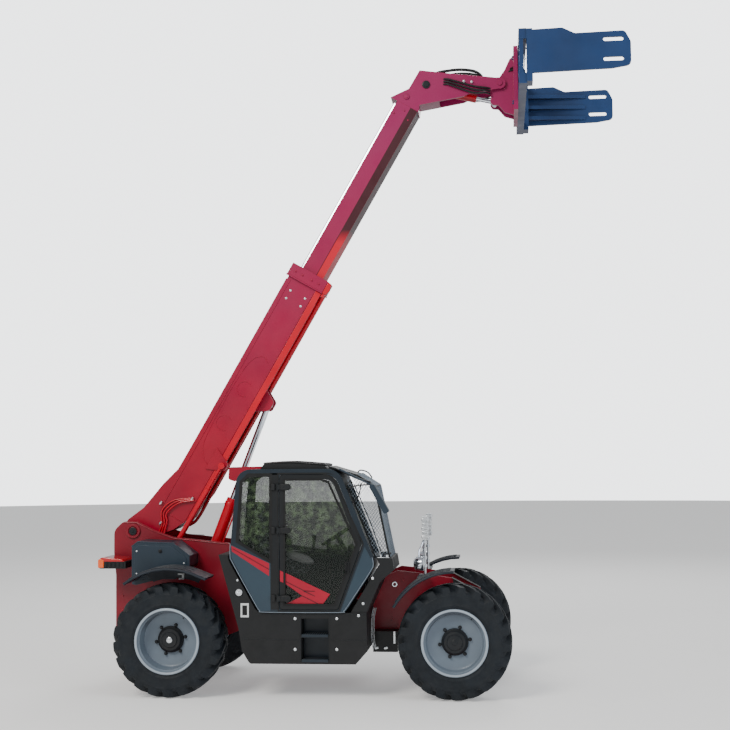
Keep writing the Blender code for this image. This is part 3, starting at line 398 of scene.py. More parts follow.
# Closed turned body: profile is (distance along, radius) points, its ends on the axis or capped
def addTurned(shape, start, direction, profile, sides=24):
    ahead, side, up = frameAround(Vector(direction))
    rings = []
    for along, radius in profile:
        centre = Vector(start) + ahead * along
        if radius < 1e-6:
            rings.append([shape.verts.new(centre)])
        else:
            rings.append([shape.verts.new(centre + side * (radius * math.cos(2 * math.pi * i / sides))
                                          + up * (radius * math.sin(2 * math.pi * i / sides)))
                          for i in range(sides)])
    for first, second in zip(rings, rings[1:]):
        for i in range(sides):
            j = (i + 1) % sides
            loop = [first[i % len(first)], first[j % len(first)], second[j % len(second)],
                    second[i % len(second)]]
            unique = []
            for vert in loop:
                if vert not in unique:
                    unique.append(vert)
            if len(unique) > 2:
                shape.faces.new(unique)
    for ring in (rings[0], rings[-1]):
        if len(ring) > 1:
            shape.faces.new(ring)
    return shape


# Ring with a closed section: profile is (distance along, radius) points all the way round
def addRing(shape, centre, direction, profile, sides=48):
    ahead, side, up = frameAround(Vector(direction))
    rings = [[shape.verts.new(Vector(centre) + ahead * along
                              + side * (radius * math.cos(2 * math.pi * i / sides))
                              + up * (radius * math.sin(2 * math.pi * i / sides))) for i in range(sides)]
             for along, radius in profile]
    for k in range(len(rings)):
        first, second = rings[k], rings[(k + 1) % len(rings)]
        joinRings(shape, first, second)
    return shape


# Catmull-Rom curve through the points, given as vectors or as (x, y, z) for atPoint()
def smoothPath(points, steps=8):
    points = [p if isinstance(p, Vector) else atPoint(*p) for p in points]
    padded = [2 * points[0] - points[1]] + points + [2 * points[-1] - points[-2]]
    path = []
    for i in range(1, len(padded) - 2):
        p0, p1, p2, p3 = padded[i - 1:i + 3]
        for step in range(steps):
            t = step / steps
            path.append(0.5 * ((2 * p1) + (p2 - p0) * t + (2 * p0 - 5 * p1 + 4 * p2 - p3) * t * t
                               + (3 * p1 - p0 - 3 * p2 + p3) * t ** 3))
    path.append(points[-1])
    return path


# Capped round tube along a path
def addTube(shape, path, radius, sides=10):
    previous = None
    rings = []
    for i, point in enumerate(path):
        ahead = (path[min(i + 1, len(path) - 1)] - path[max(i - 1, 0)]).normalized()
        if previous is None:
            side = frameAround(ahead)[1]
        else:
            side = (previous - ahead * previous.dot(ahead)).normalized()
        previous = side
        up = ahead.cross(side)
        rings.append([shape.verts.new(point + side * (radius * math.cos(2 * math.pi * k / sides))
                                      + up * (radius * math.sin(2 * math.pi * k / sides)))
                      for k in range(sides)])
    for first, second in zip(rings, rings[1:]):
        joinRings(shape, first, second)
    shape.faces.new(rings[0])
    shape.faces.new(rings[-1])
    return shape


# Repeated things: one Geometry Nodes tree for a turned array, one for a set of places
def newTree(name, inputs):
    tree = bpy.data.node_groups.new(name, "GeometryNodeTree")
    tree.interface.new_socket("Geometry", in_out="INPUT", socket_type="NodeSocketGeometry")
    tree.interface.new_socket("Geometry", in_out="OUTPUT", socket_type="NodeSocketGeometry")
    for label, kind in inputs:
        tree.interface.new_socket(label, in_out="INPUT", socket_type=kind)
    return tree, addNode(tree, "NodeGroupInput"), addNode(tree, "NodeGroupOutput")


# The end that every tree has: its copies are made real and painted
def closeTree(tree, given, result, copies):
    real = addNode(tree, "GeometryNodeRealizeInstances", links={"Geometry": copies.outputs[0]})
    painted = addNode(tree, "GeometryNodeSetMaterial", links={"Geometry": real.outputs[0],
                                                              "Material": given.outputs["Finish"]})
    tree.links.new(painted.outputs[0], result.inputs[0])
    return tree


# Copies of one shape turned about the Y axis through the origin, then moved to a centre
def turnedArrayTree():
    tree, given, result = newTree("turnedArray", [("Shape", "NodeSocketObject"), ("Count", "NodeSocketInt"),
                                                  ("Phase", "NodeSocketFloat"),
                                                  ("Centre", "NodeSocketVector"),
                                                  ("Finish", "NodeSocketMaterial")])
    points = addNode(tree, "GeometryNodePoints", links={"Count": given.outputs["Count"]})
    shape = addNode(tree, "GeometryNodeObjectInfo", links={"Object": given.outputs["Shape"]})
    index = addNode(tree, "GeometryNodeInputIndex")
    step = addNode(tree, "ShaderNodeMath", {"operation": "DIVIDE", 0: 2 * math.pi},
                   {1: given.outputs["Count"]})
    angle = addNode(tree, "ShaderNodeMath", {"operation": "MULTIPLY_ADD"},
                    {0: index.outputs[0], 1: step.outputs[0], 2: given.outputs["Phase"]})
    turn = addNode(tree, "ShaderNodeCombineXYZ", links={1: angle.outputs[0]})
    copies = addNode(tree, "GeometryNodeInstanceOnPoints",
                     links={"Points": points.outputs[0], "Instance": shape.outputs["Geometry"],
                            "Rotation": turn.outputs[0]})
    moved = addNode(tree, "GeometryNodeTransform", links={"Geometry": copies.outputs[0],
                                                          "Translation": given.outputs["Centre"]})
    return closeTree(tree, given, result, moved)


# Copies of one shape on every vertex of the carrier mesh, its Z axis along the vertex normal
def rowTree():
    tree, given, result = newTree("rowOfShapes", [("Shape", "NodeSocketObject"), ("Size", "NodeSocketFloat"),
                                                  ("Finish", "NodeSocketMaterial")])
    shape = addNode(tree, "GeometryNodeObjectInfo", links={"Object": given.outputs["Shape"]})
    normal = addNode(tree, "GeometryNodeInputNamedAttribute", {"data_type": "FLOAT_VECTOR", "Name": "facing"})
    turn = addNode(tree, "FunctionNodeAlignRotationToVector", {"axis": "Z"}, {"Vector": normal.outputs[0]})
    copies = addNode(tree, "GeometryNodeInstanceOnPoints",
                     links={"Points": given.outputs["Geometry"], "Instance": shape.outputs["Geometry"],
                            "Rotation": turn.outputs[0], "Scale": given.outputs["Size"]})
    return closeTree(tree, given, result, copies)


trees = {"turned": turnedArrayTree(), "row": rowTree()}


# Source object for a tree to copy; it is removed once its copies are real
def stamp(name, shape):
    bmesh.ops.recalc_face_normals(shape, faces=shape.faces)
    mesh = bpy.data.meshes.new(name)
    shape.to_mesh(mesh)
    shape.free()
    source = bpy.data.objects.new(name, mesh)
    bpy.context.scene.collection.objects.link(source)
    return source


# Run a tree on a carrier mesh with named inputs and return the plain mesh it makes
def grownMesh(carrier, tree, values):
    host = bpy.data.objects.new("host", carrier)
    bpy.context.scene.collection.objects.link(host)
    maker = host.modifiers.new("Maker", "NODES")
    maker.node_group = tree
    for item in tree.interface.items_tree:
        if item.item_type == "SOCKET" and item.in_out == "INPUT" and item.name in values:
            maker[item.identifier] = values[item.name]
    bpy.context.view_layer.update()
    mesh = bpy.data.meshes.new_from_object(host.evaluated_get(bpy.context.evaluated_depsgraph_get()))
    host.modifiers.remove(maker)
    bpy.data.objects.remove(host)
    return mesh


def turnedArray(source, count, phase, centre, finish):
    return grownMesh(bpy.data.meshes.new("carrier"), trees["turned"],
                     {"Shape": source, "Count": count, "Phase": phase, "Centre": tuple(centre),
                      "Finish": finishes[finish]})


# One piece with a copy of the source at each (point, facing) place
def rowOf(name, source, places, finish, body, size=1.0, smooth=40.0):
    carrier = bpy.data.meshes.new("carrier")
    carrier.from_pydata([tuple(p) for p, facing in places], [], [])
    facings = carrier.attributes.new("facing", "FLOAT_VECTOR", "POINT")
    for i, (point, facing) in enumerate(places):
        facings.data[i].vector = facing
    mesh = grownMesh(carrier, trees["row"], {"Shape": source, "Size": size, "Finish": finishes[finish]})
    return finishPiece(name, mesh, finish, body, smooth)


# Wheels
tyre = {"width": 0.40, "lugs": 21, "lugBase": 0.088, "lugTop": 0.062, "lean": 0.30}
rim = {"hub": 0.140, "studs": 6, "studCircle": 0.158, "studTurn": 0.35}
wheelSet = [(axle + "_" + side, x, -1 if side == "near" else 1, 0.20 if axle == "rear" else 0.125)
            for axle, x in (("rear", 0.0), ("front", frontAxleX)) for side in ("near", "far")]


# One tread bar, from past the crown's middle over the shoulder and a little down the sidewall
def lugShape(side):
    shape = bmesh.new()
    half = tyre["width"] / 2
    # across (share of the half width), radius of the top, radius of the root, angle the bar has swept
    stations = [(-0.10, 0.590, 0.535, 0.0), (0.18, 0.590, 0.535, 0.20), (0.50, 0.588, 0.532, 0.52),
                (0.80, 0.583, 0.520, 0.82), (0.97, 0.570, 0.500, 1.0), (1.0, 0.530, 0.480, 1.02),
                (0.993, 0.490, 0.470, 1.02)]
    rings = []
    for across, top, root, swept in stations:
        y = side * across * half
        centre = tyre["lean"] * swept
        fade = 1.0 if across > 0 else 0.8
        ring = []
        for radius, spread in ((root, tyre["lugBase"]), (top, tyre["lugTop"])):
            for sign in (-1, 1):
                angle = centre + sign * spread * fade / 2 / radius * (1.12 if across > 0.4 else 1.0)
                ring.append(shape.verts.new((radius * math.sin(angle), y, radius * math.cos(angle))))
        rings.append([ring[0], ring[1], ring[3], ring[2]])
    for first, second in zip(rings, rings[1:]):
        joinRings(shape, first, second)
    shape.faces.new(rings[0])
    shape.faces.new(rings[-1])
    return stamp("lug", shape)


# Hexagon nut with its stud end, standing on the origin along +Z
def nutShape(radius, height):
    shape = bmesh.new()
    addStack(shape, [(0.0, radius * 1.25, 18), (height * 0.18, radius * 1.25, 18)])
    addStack(shape, [(height * 0.18, radius, 6), (height * 0.8, radius, 6),
                     (height * 0.88, radius * 0.86, 6)])
    addStack(shape, [(height * 0.85, radius * 0.52, 12), (height * 1.25, radius * 0.5, 12)])
    return shape


# Prism stacked along +Z at the origin: levels are (height, radius, sides)
def addStack(shape, levels):
    sides = levels[0][2]
    rings = [[shape.verts.new((r * math.cos(2 * math.pi * i / sides), r * math.sin(2 * math.pi * i / sides), z))
              for i in range(sides)] for z, r, s in levels]
    for first, second in zip(rings, rings[1:]):
        joinRings(shape, first, second)
    shape.faces.new(rings[0])
    shape.faces.new(rings[-1])


lugSources = {side: lugShape(side) for side in (-1, 1)}
nutSource = stamp("nut", nutShape(0.017, 0.026))
studNut = nutShape(0.0155, 0.030)
for vert in studNut.verts:                                  # stand it on the disc, facing out along -Y
    vert.co = Vector((vert.co.x, -vert.co.z, vert.co.y + rim["studCircle"]))
studSources = {-1: stamp("stud", studNut)}
mirrorNut = bmesh.new()
mirrorNut.from_mesh(studSources[-1].data)
for vert in mirrorNut.verts:
    vert.co.y = -vert.co.y
studSources[1] = stamp("studFar", mirrorNut)

for wheel, wheelX, side, dish in wheelSet:
    centre = atPoint(wheelX, side * wheelY, tyreRadius)
    out = Vector((0, side, 0))
    half = tyre["width"] / 2
    body = wheel + "_wheel"
    # carcass: bead, sidewall with two moulded ribs, shoulder, crown, and the same inboard
    section = [(0.168, 0.336), (0.186, 0.345), (0.190, 0.372), (0.196, 0.378), (0.197, 0.386), (0.193, 0.392),
               (0.199, 0.425), (0.200, 0.455), (0.1995, 0.478), (0.2015, 0.482), (0.2015, 0.488), (0.198, 0.492),
               (0.190, 0.512), (0.165, 0.530), (0.10, 0.545), (0.0, 0.548)]
    loop = section + [(-a, r) for a, r in reversed(section[:-1])]
    loop += [(-0.155, 0.326), (0.155, 0.326)]
    carcass = addRing(bmesh.new(), centre, out, loop, 96)
    finishPiece(wheel + "_carcass", carcass, "tyreRubber", body, 50.0)
    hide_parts(wheel + "_tyre")
    treads = []
    for bar in (-1, 1):
        phase = 0.0 if bar > 0 else math.pi / tyre["lugs"]
        treads.append(turnedArray(lugSources[bar], tyre["lugs"], phase, centre, "tyreRubber"))
    joined = bmesh.new()
    for mesh in treads:
        joined.from_mesh(mesh)
    finishPiece(wheel + "_tread", joined, "tyreRubber", body, 30.0, bevel=0.004)
    # rim: lip, well, dished disc, all one turned body
    face = half - 0.012
    profile = [(face - 0.004, 0.322), (face + 0.004, 0.330), (face + 0.005, 0.340), (face - 0.002, 0.347),
               (face - 0.012, 0.345), (face - 0.020, 0.334), (-half + 0.02, 0.325), (-half + 0.02, 0.300),
               (half - dish - 0.016, 0.292), (half - dish - 0.016, 0.05), (half - dish, 0.05),
               (half - dish, 0.262),
               (half - dish + 0.014, 0.284), (face - 0.03, 0.300), (face - 0.022, 0.312)]
    rimBody = addRing(bmesh.new(), centre, out, profile, 96)
    piece = finishPiece(wheel + "_rimBody", rimBody, "rimEnamel", body, crisp)
    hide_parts(wheel + "_rim")
    # painted highlight: the lip ring is a lighter grey than the rest of the rim
    bead = addRing(bmesh.new(), centre, out,
                   [(face + 0.0052 + 0.010 * math.cos(a), 0.331 + 0.014 * math.sin(a))
                    for a in [i * math.pi / 5 for i in range(10)]], 96)
    finishPiece(wheel + "_rimLip", bead, "paleGreyEnamel", body, 60.0)
    # hub: cast drum with a stepped cover
    disc = half - dish
    hub = addTurned(bmesh.new(), centre + out * (disc - 0.05), out,
                    [(0, 0.10), (0.05, rim["hub"]), (0.075, rim["hub"] - 0.004), (0.085, rim["hub"] - 0.02),
                     (0.105, rim["hub"] - 0.03), (0.110, 0.082), (0.122, 0.076), (0.126, 0.03), (0.126, 0.0)], 48)
    finishPiece(wheel + "_hub", hub, "castEnamel", body, crisp)
    cap = addTurned(bmesh.new(), centre + out * (disc + 0.074), out,
                    [(0, 0.030), (0.006, 0.030), (0.009, 0.024), (0.012, 0.012), (0.012, 0.0)], 24)
    finishPiece(wheel + "_hubPlug", cap, "zincPlate" if wheel.startswith("rear") else "castEnamel", body, crisp)
    nuts = turnedArray(studSources[side], rim["studs"], rim["studTurn"], centre + out * disc, "castEnamel")
    finishPiece(wheel + "_studs", nuts, "castEnamel", body, 30.0)
    valve = addTube(bmesh.new(), smoothPath([centre + out * (face - 0.045) + Vector((0.17, 0, 0.235)),
                                             centre + out * (face - 0.02) + Vector((0.172, 0, 0.238)),
                                             centre + out * face + Vector((0.176, 0, 0.244))], 4), 0.006, 8)
    finishPiece(wheel + "_valve", valve, "blackPlastic", body)
print("wheels made")

# Chassis and tower
frameSide = 0.33
boxSide = 0.74
boltSource = stamp("bolt", nutShape(0.010, 0.013))
buttonShape = bmesh.new()
addStack(buttonShape, [(0.0, 0.013, 16), (0.003, 0.013, 16), (0.0055, 0.010, 16), (0.0065, 0.005, 16)])
buttonSource = stamp("button", buttonShape)


def arcPoints(centre, radius, start, end, steps):
    return [(centre[0] + radius * math.cos(math.radians(start + (end - start) * i / steps)),
             centre[1] + radius * math.sin(math.radians(start + (end - start) * i / steps)))
            for i in range(steps + 1)]


# Bolts at (x, y, z) spots that all face one way
def boltRow(name, spots, facing, finish, body, source=None, size=1.0):
    return rowOf(name, source or boltSource, [(atPoint(*spot), Vector(facing)) for spot in spots], finish,
                 body, size)


boss = {"inner": 0.052, "outer": 0.082, "height": 0.018}
for side, place in bothSides:
    out = (0, side, 0)
    ring = addRing(bmesh.new(), atPoint(boomPivot[0], side * frameSide, boomPivot[1]), out,
                   [(-0.004, boss["inner"]), (boss["height"], boss["inner"]), (boss["height"] + 0.003, 0.056),
                    (boss["height"] + 0.003, 0.076), (boss["height"] - 0.002, boss["outer"]),
                    (-0.004, boss["outer"])], 48)
    finishPiece("pivotBoss_" + place, ring, "frameEnamel", "chassis", crisp)
    cap = addTurned(bmesh.new(), atPoint(boomPivot[0], side * (frameSide + 0.019), boomPivot[1]), out,
                    [(0, 0.043), (0.004, 0.043), (0.006, 0.039), (0.004, 0.012), (0.012, 0.010),
                     (0.012, 0.0)], 32)
    finishPiece("pivotPinCap_" + place, cap, "castEnamel", "chassis", crisp)
    # weld bead and edge bar that stiffen the tower's top edge
    edge = [(-0.69, 1.786), (-0.55, 1.786), (-0.345, 1.687), (-0.13, 1.612), (0.30, 1.567), (0.495, 1.545)]
    bar = addTube(bmesh.new(), [atPoint(x, side * (frameSide + 0.001), z) for x, z in edge], 0.006, 8)
    finishPiece("towerEdge_" + place, bar, "frameEnamel", "chassis")
    boltRow("towerBolts_" + place, [(x, side * frameSide, z) for x, z in
                                    ((-0.70, 0.66), (-0.70, 0.82), (-0.70, 0.98), (0.42, 1.40), (0.52, 1.22),
                                     (0.58, 1.02),
                                     (2.42, 1.16), (2.62, 1.13), (2.30, 0.74), (2.52, 0.74))], out,
            "frameEnamel", "chassis")

# service box on the near side, tank on the far side: lid seam, vents on the slope, latch, bolts
ventShape = bmesh.new()
addStack(ventShape, [(0.0, 0.010, 12), (0.0025, 0.010, 12)])
for vert in ventShape.verts:
    vert.co.y += 0.062 if vert.co.y > 0.0001 else (-0.062 if vert.co.y < -0.0001 else 0.0)
ventSource = stamp("vent", ventShape)
slope = Vector((0.135, 0, 0.18)).normalized()
for side, place in bothSides:
    spots = [(atPoint(-0.03 + 0.18 * t, side * 0.60, 1.585 - 0.135 * t) + slope * 0.0008, slope)
             for t in (0.22, 0.50, 0.78)]
    rowOf("boxVents_" + place, ventSource, spots, "sealRubber", "chassis")
    lid = [(-0.489, 1.545), (-0.489, 1.556), (-0.421, 1.606), (-0.028, 1.591), (0.156, 1.453), (0.156, 1.443),
           (-0.031, 1.578), (-0.419, 1.593)]
    finishPiece("boxLidTrim_" + place, addPlate(bmesh.new(), lid, side * 0.334, side * (boxSide + 0.005)),
                "boxEnamel", "chassis", crisp, bevel=0.002)
    panel = [(-0.455, 1.235), (-0.455, 1.53), (-0.41, 1.565), (-0.045, 1.552), (0.115, 1.43), (0.115, 1.35),
             (0.0, 1.235)]
    finishPiece("boxDoor_" + place, addPlate(bmesh.new(), panel, side * boxSide, side * (boxSide + 0.006)),
                "boxEnamel", "chassis", crisp, bevel=0.003)
    boltRow("boxBolts_" + place, [(x, side * (boxSide + 0.006), z) for x, z in
                                  ((-0.43, 1.26), (-0.43, 1.50), (0.09, 1.37), (-0.02, 1.26))], (0, side, 0),
            "zincPlate", "chassis", buttonSource, 0.7)
    latch = addTurned(bmesh.new(), atPoint(-0.17, side * (boxSide + 0.005), 1.50), (0, side, 0),
                      [(0, 0.020), (0.006, 0.020), (0.010, 0.013), (0.020, 0.013), (0.022, 0.0)], 20)
    finishPiece("boxLatch_" + place, latch, "blackPlastic", "chassis", crisp)
    skirt = addPlate(bmesh.new(), [(-0.485, 1.199), (-0.484, 1.145), (-0.44, 1.135), (-0.36, 1.155),
                                   (-0.20, 1.199)], side * 0.722, side * 0.734)
    finishPiece("boxSkirt_" + place, skirt, "boxEnamel", "chassis", crisp, bevel=0.003)

# mudguards: rolled outer lip, rubber skirt below the rear ones, ribs on top
fender = {"rear": (0.0, 0.765, 68, 128), "front": (frontAxleX, 0.735, 90, 150)}
for axle in ("rear", "front"):
    x, radius, start, end = fender[axle]
    for side, place in bothSides:
        lipPath = [atPoint(px, side * 1.132, pz) for px, pz in arcPoints((x, 0.59), radius - 0.016, start,
                                                                         end, 20)]
        if axle == "rear":
            turn = math.radians(start)
            lipPath.insert(0, lipPath[0] + Vector((math.sin(turn), 0, -math.cos(turn))) * 0.14)
        finishPiece(axle + "FenderLip_" + place, addTube(bmesh.new(), lipPath, 0.014, 10), "fenderPlastic",
                    "chassis")
        if axle == "rear":
            skirt = arcPoints((x, 0.59), 0.742, 64, 116, 12) + arcPoints((x, 0.59), 0.628, 112, 66, 12)
            finishPiece("rearSkirt_" + place, addPlate(bmesh.new(), skirt, side * 0.765, side * 0.777),
                        "fenderPlastic", "chassis", crisp, bevel=0.002)
        ribs = bmesh.new()
        for y in (0.80, 0.94, 1.08):
            addTube(ribs, [atPoint(px, side * y, pz) for px, pz in
                           arcPoints((x, 0.59), radius + 0.001, start + 3, end - 4, 16)], 0.006, 8)
        finishPiece(axle + "FenderRibs_" + place, ribs, "fenderPlastic", "chassis")
bracket = bmesh.new()
addBox(bracket, (0.035, -0.800, 1.252), (0.105, -0.778, 1.266))
addBox(bracket, (0.082, -0.800, 1.204), (0.100, -0.778, 1.258))
addBox(bracket, (0.045, -0.800, 1.204), (0.100, -0.778, 1.217))
finishPiece("fenderTag", bracket, "whitePlastic", "chassis", crisp, bevel=0.002)

# rear lamps: red lens over the black housing, amber at the corner, a red reflector
for side, place in bothSides:
    low, high = sorted((side * 0.36, side * 0.727))
    lens = [(-0.845, 1.385), (-0.845, 1.424), (-0.80, 1.432), (-0.60, 1.412), (-0.575, 1.384)]
    finishPiece("rearLamp_" + place, addPlate(bmesh.new(), lens, low, high), "redLens", "chassis", crisp,
                bevel=0.008, segments=3)
    amber = [(-0.866, 1.318), (-0.866, 1.405), (-0.835, 1.418), (-0.800, 1.405), (-0.800, 1.318)]
    finishPiece("rearAmber_" + place, addPlate(bmesh.new(), amber, side * 0.50, side * 0.729), "amberLens",
                "chassis", crisp, bevel=0.008, segments=3)
    face = [(-0.872, 1.335), (-0.872, 1.395), (-0.858, 1.395), (-0.858, 1.335)]
    finishPiece("rearReflector_" + place, addPlate(bmesh.new(), face, side * 0.37, side * 0.49), "redLens",
                "chassis", crisp, bevel=0.003)
    fins = bmesh.new()
    for i in range(5):
        addBox(fins, (-0.79 + i * 0.045, min(side * 0.716, side * 0.728), 1.322),
               (-0.765 + i * 0.045, max(side * 0.716, side * 0.728), 1.378))
    finishPiece("rearLampFins_" + place, fins, "blackPlastic", "chassis", crisp, bevel=0.003)
plateBlank = bmesh.new()
addBox(plateBlank, (-0.800, -0.26, 0.98), (-0.790, 0.26, 1.10))
finishPiece("rearPlateBlank", plateBlank, "whitePlastic", "chassis", crisp, bevel=0.004)
hitch = bmesh.new()
addBox(hitch, (-0.815, -0.11, 0.60), (-0.766, 0.11, 0.78))
addTurned(hitch, atPoint(-0.79, 0, 0.60), (0, 0, -1), [(0, 0.05), (0.04, 0.05), (0.045, 0.04), (0.045, 0.0)], 24)
finishPiece("hitchPlate", hitch, "castEnamel", "chassis", crisp, bevel=0.005)
boltRow("hitchBolts", [(-0.815, y, z) for y in (-0.085, 0.085) for z in (0.625, 0.755)], (-1, 0, 0),
        "zincPlate",
        "chassis", None, 1.2)
print("chassis dressed")

# Tank and steps below the cab
tankFace = -1.10
seams = bmesh.new()
for outline in ([(0.795, 0.617), (1.405, 0.605), (1.405, 0.612), (0.795, 0.624)],
                [(1.715, 0.607), (2.098, 0.607), (2.098, 0.614), (1.715, 0.614)],
                [(1.402, 0.372), (1.409, 0.372), (1.409, 0.872), (1.402, 0.872)],
                [(1.706, 0.372), (1.713, 0.372), (1.713, 0.872), (1.706, 0.872)],
                [(0.94, 0.868), (2.096, 0.868), (2.096, 0.876), (0.936, 0.876)]):
    addPlate(seams, outline, tankFace - 0.003, tankFace + 0.004)
finishPiece("tankSeams", seams, "blackEnamel", "chassis", crisp, bevel=0.001)
boltRow("tankBolts", [(x, tankFace, z) for x, z in ((1.351, 0.830), (1.787, 0.832), (1.350, 0.514),
                                                    (1.785, 0.517),
                                                    (2.013, 0.863))],
        (0, -1, 0), "zincPlate", "chassis", buttonSource, 1.15)
boltRow("cowlBolts", [(2.160, -1.09, 1.245), (2.060, -1.09, 0.985)], (0, -1, 0), "zincPlate", "chassis",
        buttonSource, 1.1)
boltRow("sumpBolts", [(0.745, tankFace, 1.224)], (0, -1, 0), "zincPlate", "chassis", buttonSource, 0.9)
filler = addTurned(bmesh.new(), atPoint(0.762, tankFace, 1.098), (0, -1, 0),
                   [(0, 0.034), (0.004, 0.036), (0.016, 0.036), (0.020, 0.032), (0.020, 0.020), (0.014, 0.018),
                    (0.014, 0.0)], 32)
finishPiece("fillerCap", filler, "zincPlate", "chassis", crisp)
grip = bmesh.new()
addBox(grip, (0.738, tankFace - 0.027, 1.090), (0.786, tankFace - 0.012, 1.106))
finishPiece("fillerGrip", grip, "hardChrome", "chassis", crisp, bevel=0.003)
tag = bmesh.new()
for low, high in (((0.779, 0.842), (0.865, 0.862)), ((0.779, 0.964), (0.865, 0.986)),
                  ((0.779, 0.862), (0.796, 0.964)),
                  ((0.848, 0.862), (0.865, 0.964))):
    addBox(tag, (low[0], tankFace - 0.003, low[1]), (high[0], tankFace, high[1]))
finishPiece("blankTagFrame", tag, "whitePlastic", "chassis", crisp)
window = bmesh.new()
addBox(window, (0.796, tankFace - 0.0015, 0.862), (0.848, tankFace, 0.964))
addBox(window, (0.815, tankFace - 0.0035, 0.93), (0.845, tankFace - 0.001, 0.955))
finishPiece("blankTagCentre", window, "sealRubber", "chassis", crisp)
treadShape = bmesh.new()
addStack(treadShape, [(0.0, 0.007, 8), (0.004, 0.007, 8), (0.006, 0.005, 8)])
treadSource = stamp("treadStud", treadShape)
step = {"low": 1.420, "high": 1.695, "floors": (0.405, 0.66), "studs": (11, 6)}
for k, floorZ in enumerate(step["floors"]):
    board = bmesh.new()
    addBox(board, (step["low"], -1.104, floorZ), (step["high"], -0.925, floorZ + 0.008))
    addBox(board, (step["low"], -1.112, floorZ - 0.020), (step["high"], -1.101, floorZ + 0.010))
    finishPiece("stepBoard_%d" % k, board, "cabEnamel", "chassis", crisp, bevel=0.002)
    spots = [(atPoint(step["low"] + 0.02 + i * 0.0235, -1.09 + j * 0.028, floorZ + 0.008), Vector((0, 0, 1)))
             for i in range(step["studs"][0]) for j in range(step["studs"][1])]
    rowOf("stepStuds_%d" % k, treadSource, spots, "castEnamel", "chassis")
backing = bmesh.new()
addBox(backing, (1.418, -0.932, 0.407), (1.697, -0.925, 0.634))
addBox(backing, (1.418, -0.932, 0.662), (1.697, -0.925, 0.828))
finishPiece("stepBacking", backing, "cabEnamel", "chassis", crisp, bevel=0.002)

# valve block ahead of the tank: bright pipes, bolts, a post
pipes = bmesh.new()
for i, x in enumerate((2.112, 2.126, 2.140)):
    addTube(pipes, smoothPath([(x + 0.02, -0.70, 0.90), (x, -0.715, 0.80), (x - 0.004, -0.72, 0.60),
                               (x + 0.012, -0.71, 0.47 + 0.01 * i)], 6), 0.0045, 8)
finishPiece("valvePipes", pipes, "zincPlate", "chassis")
boltRow("valveBolts", [(x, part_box("valve_block")[0][1], z) for x, z in
                       ((2.135, 0.452), (2.152, 0.456), (2.235, 0.452), (2.252, 0.456))], (0, -1, 0),
        "zincPlate",
        "chassis", buttonSource, 1.1)
post = bmesh.new()
addBox(post, (2.325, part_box("valve_block")[0][1] - 0.012, 0.50),
       (2.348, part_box("valve_block")[0][1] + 0.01, 0.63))
finishPiece("valvePost", post, "zincPlate", "chassis", crisp, bevel=0.003)
ringBody = addRing(bmesh.new(), atPoint(2.329, -frameSide, 1.112), (0, -1, 0),
                   [(-0.002, 0.016), (0.012, 0.016), (0.015, 0.019), (0.015, 0.026), (0.011, 0.030),
                    (-0.002, 0.030)], 32)
finishPiece("frameRing", ringBody, "hardChrome", "chassis", crisp)
print("tank and steps dressed")

# Cab
cabFace = -1.12
quarterWindow = [(0.752, 1.628), (0.795, 2.245), (0.86, 2.305), (1.098, 2.31), (1.098, 1.425)]
boomSideWindow = [(0.75, 1.46), (0.795, 2.235), (0.87, 2.297), (1.66, 2.298), (1.78, 2.21), (2.06, 1.46)]


# The closed outline moved sideways; a positive distance goes outwards on a clockwise outline
def offsetOutline(outline, distance):
    result = []
    for i, point in enumerate(outline):
        here = Vector(point)
        back = (here - Vector(outline[i - 1])).normalized()
        ahead = (Vector(outline[(i + 1) % len(outline)]) - here).normalized()
        normal = Vector((-(back + ahead).y, (back + ahead).x)).normalized()
        share = max(0.35, normal.dot(Vector((-back.y, back.x))))
        result.append(tuple(here + normal * (distance / share)))
    return result


# Flat rubber seal between two offsets of an outline
def addSeal(shape, outline, inside, outside, yLow, yHigh):
    loops = [[shape.verts.new(atPoint(x, y, z)) for x, z in offsetOutline(outline, d)]
             for y in (yLow, yHigh) for d in (inside, outside)]
    for first, second in ((0, 1), (1, 3), (3, 2), (2, 0)):
        joinRings(shape, loops[first], loops[second])
    return shape


finishPiece("quarterSeal", addSeal(bmesh.new(), quarterWindow, -0.012, 0.020, cabFace - 0.003, cabFace + 0.004),
            "sealRubber", "chassis", crisp, bevel=0.0015)
finishPiece("boomSideSeal", addSeal(bmesh.new(), boomSideWindow, -0.012, 0.020, -0.344, -0.337), "sealRubber",
            "chassis", crisp, bevel=0.0015)
doorOutline = [(1.195, 0.925), (1.195, 2.315), (1.64, 2.315), (1.745, 2.275), (2.052, 1.60), (1.80, 0.925)]
finishPiece("doorGap", addSeal(bmesh.new(), doorOutline, 0.008, 0.022, cabFace - 0.0025, cabFace + 0.003),
            "sealRubber", "chassis", crisp)
finishPiece("doorGlassSeal", addSeal(bmesh.new(), doorOutline, -0.060, -0.038, cabFace - 0.003, cabFace + 0.004),
            "sealRubber", "door", crisp)
pillar = bmesh.new()
addPlate(pillar, [(1.100, 0.925), (1.100, 2.335), (1.186, 2.335), (1.186, 0.925)], cabFace - 0.002,
         cabFace + 0.002)
finishPiece("pillarCover", pillar, "blackEnamel", "chassis", crisp, bevel=0.001)
header = bmesh.new()
addPlate(header, [(0.83, 2.312), (0.86, 2.334), (1.70, 2.338), (1.78, 2.312), (1.70, 2.322), (1.09, 2.318)],
         cabFace - 0.002, cabFace + 0.002)
finishPiece("headerCover", header, "blackEnamel", "chassis", crisp)

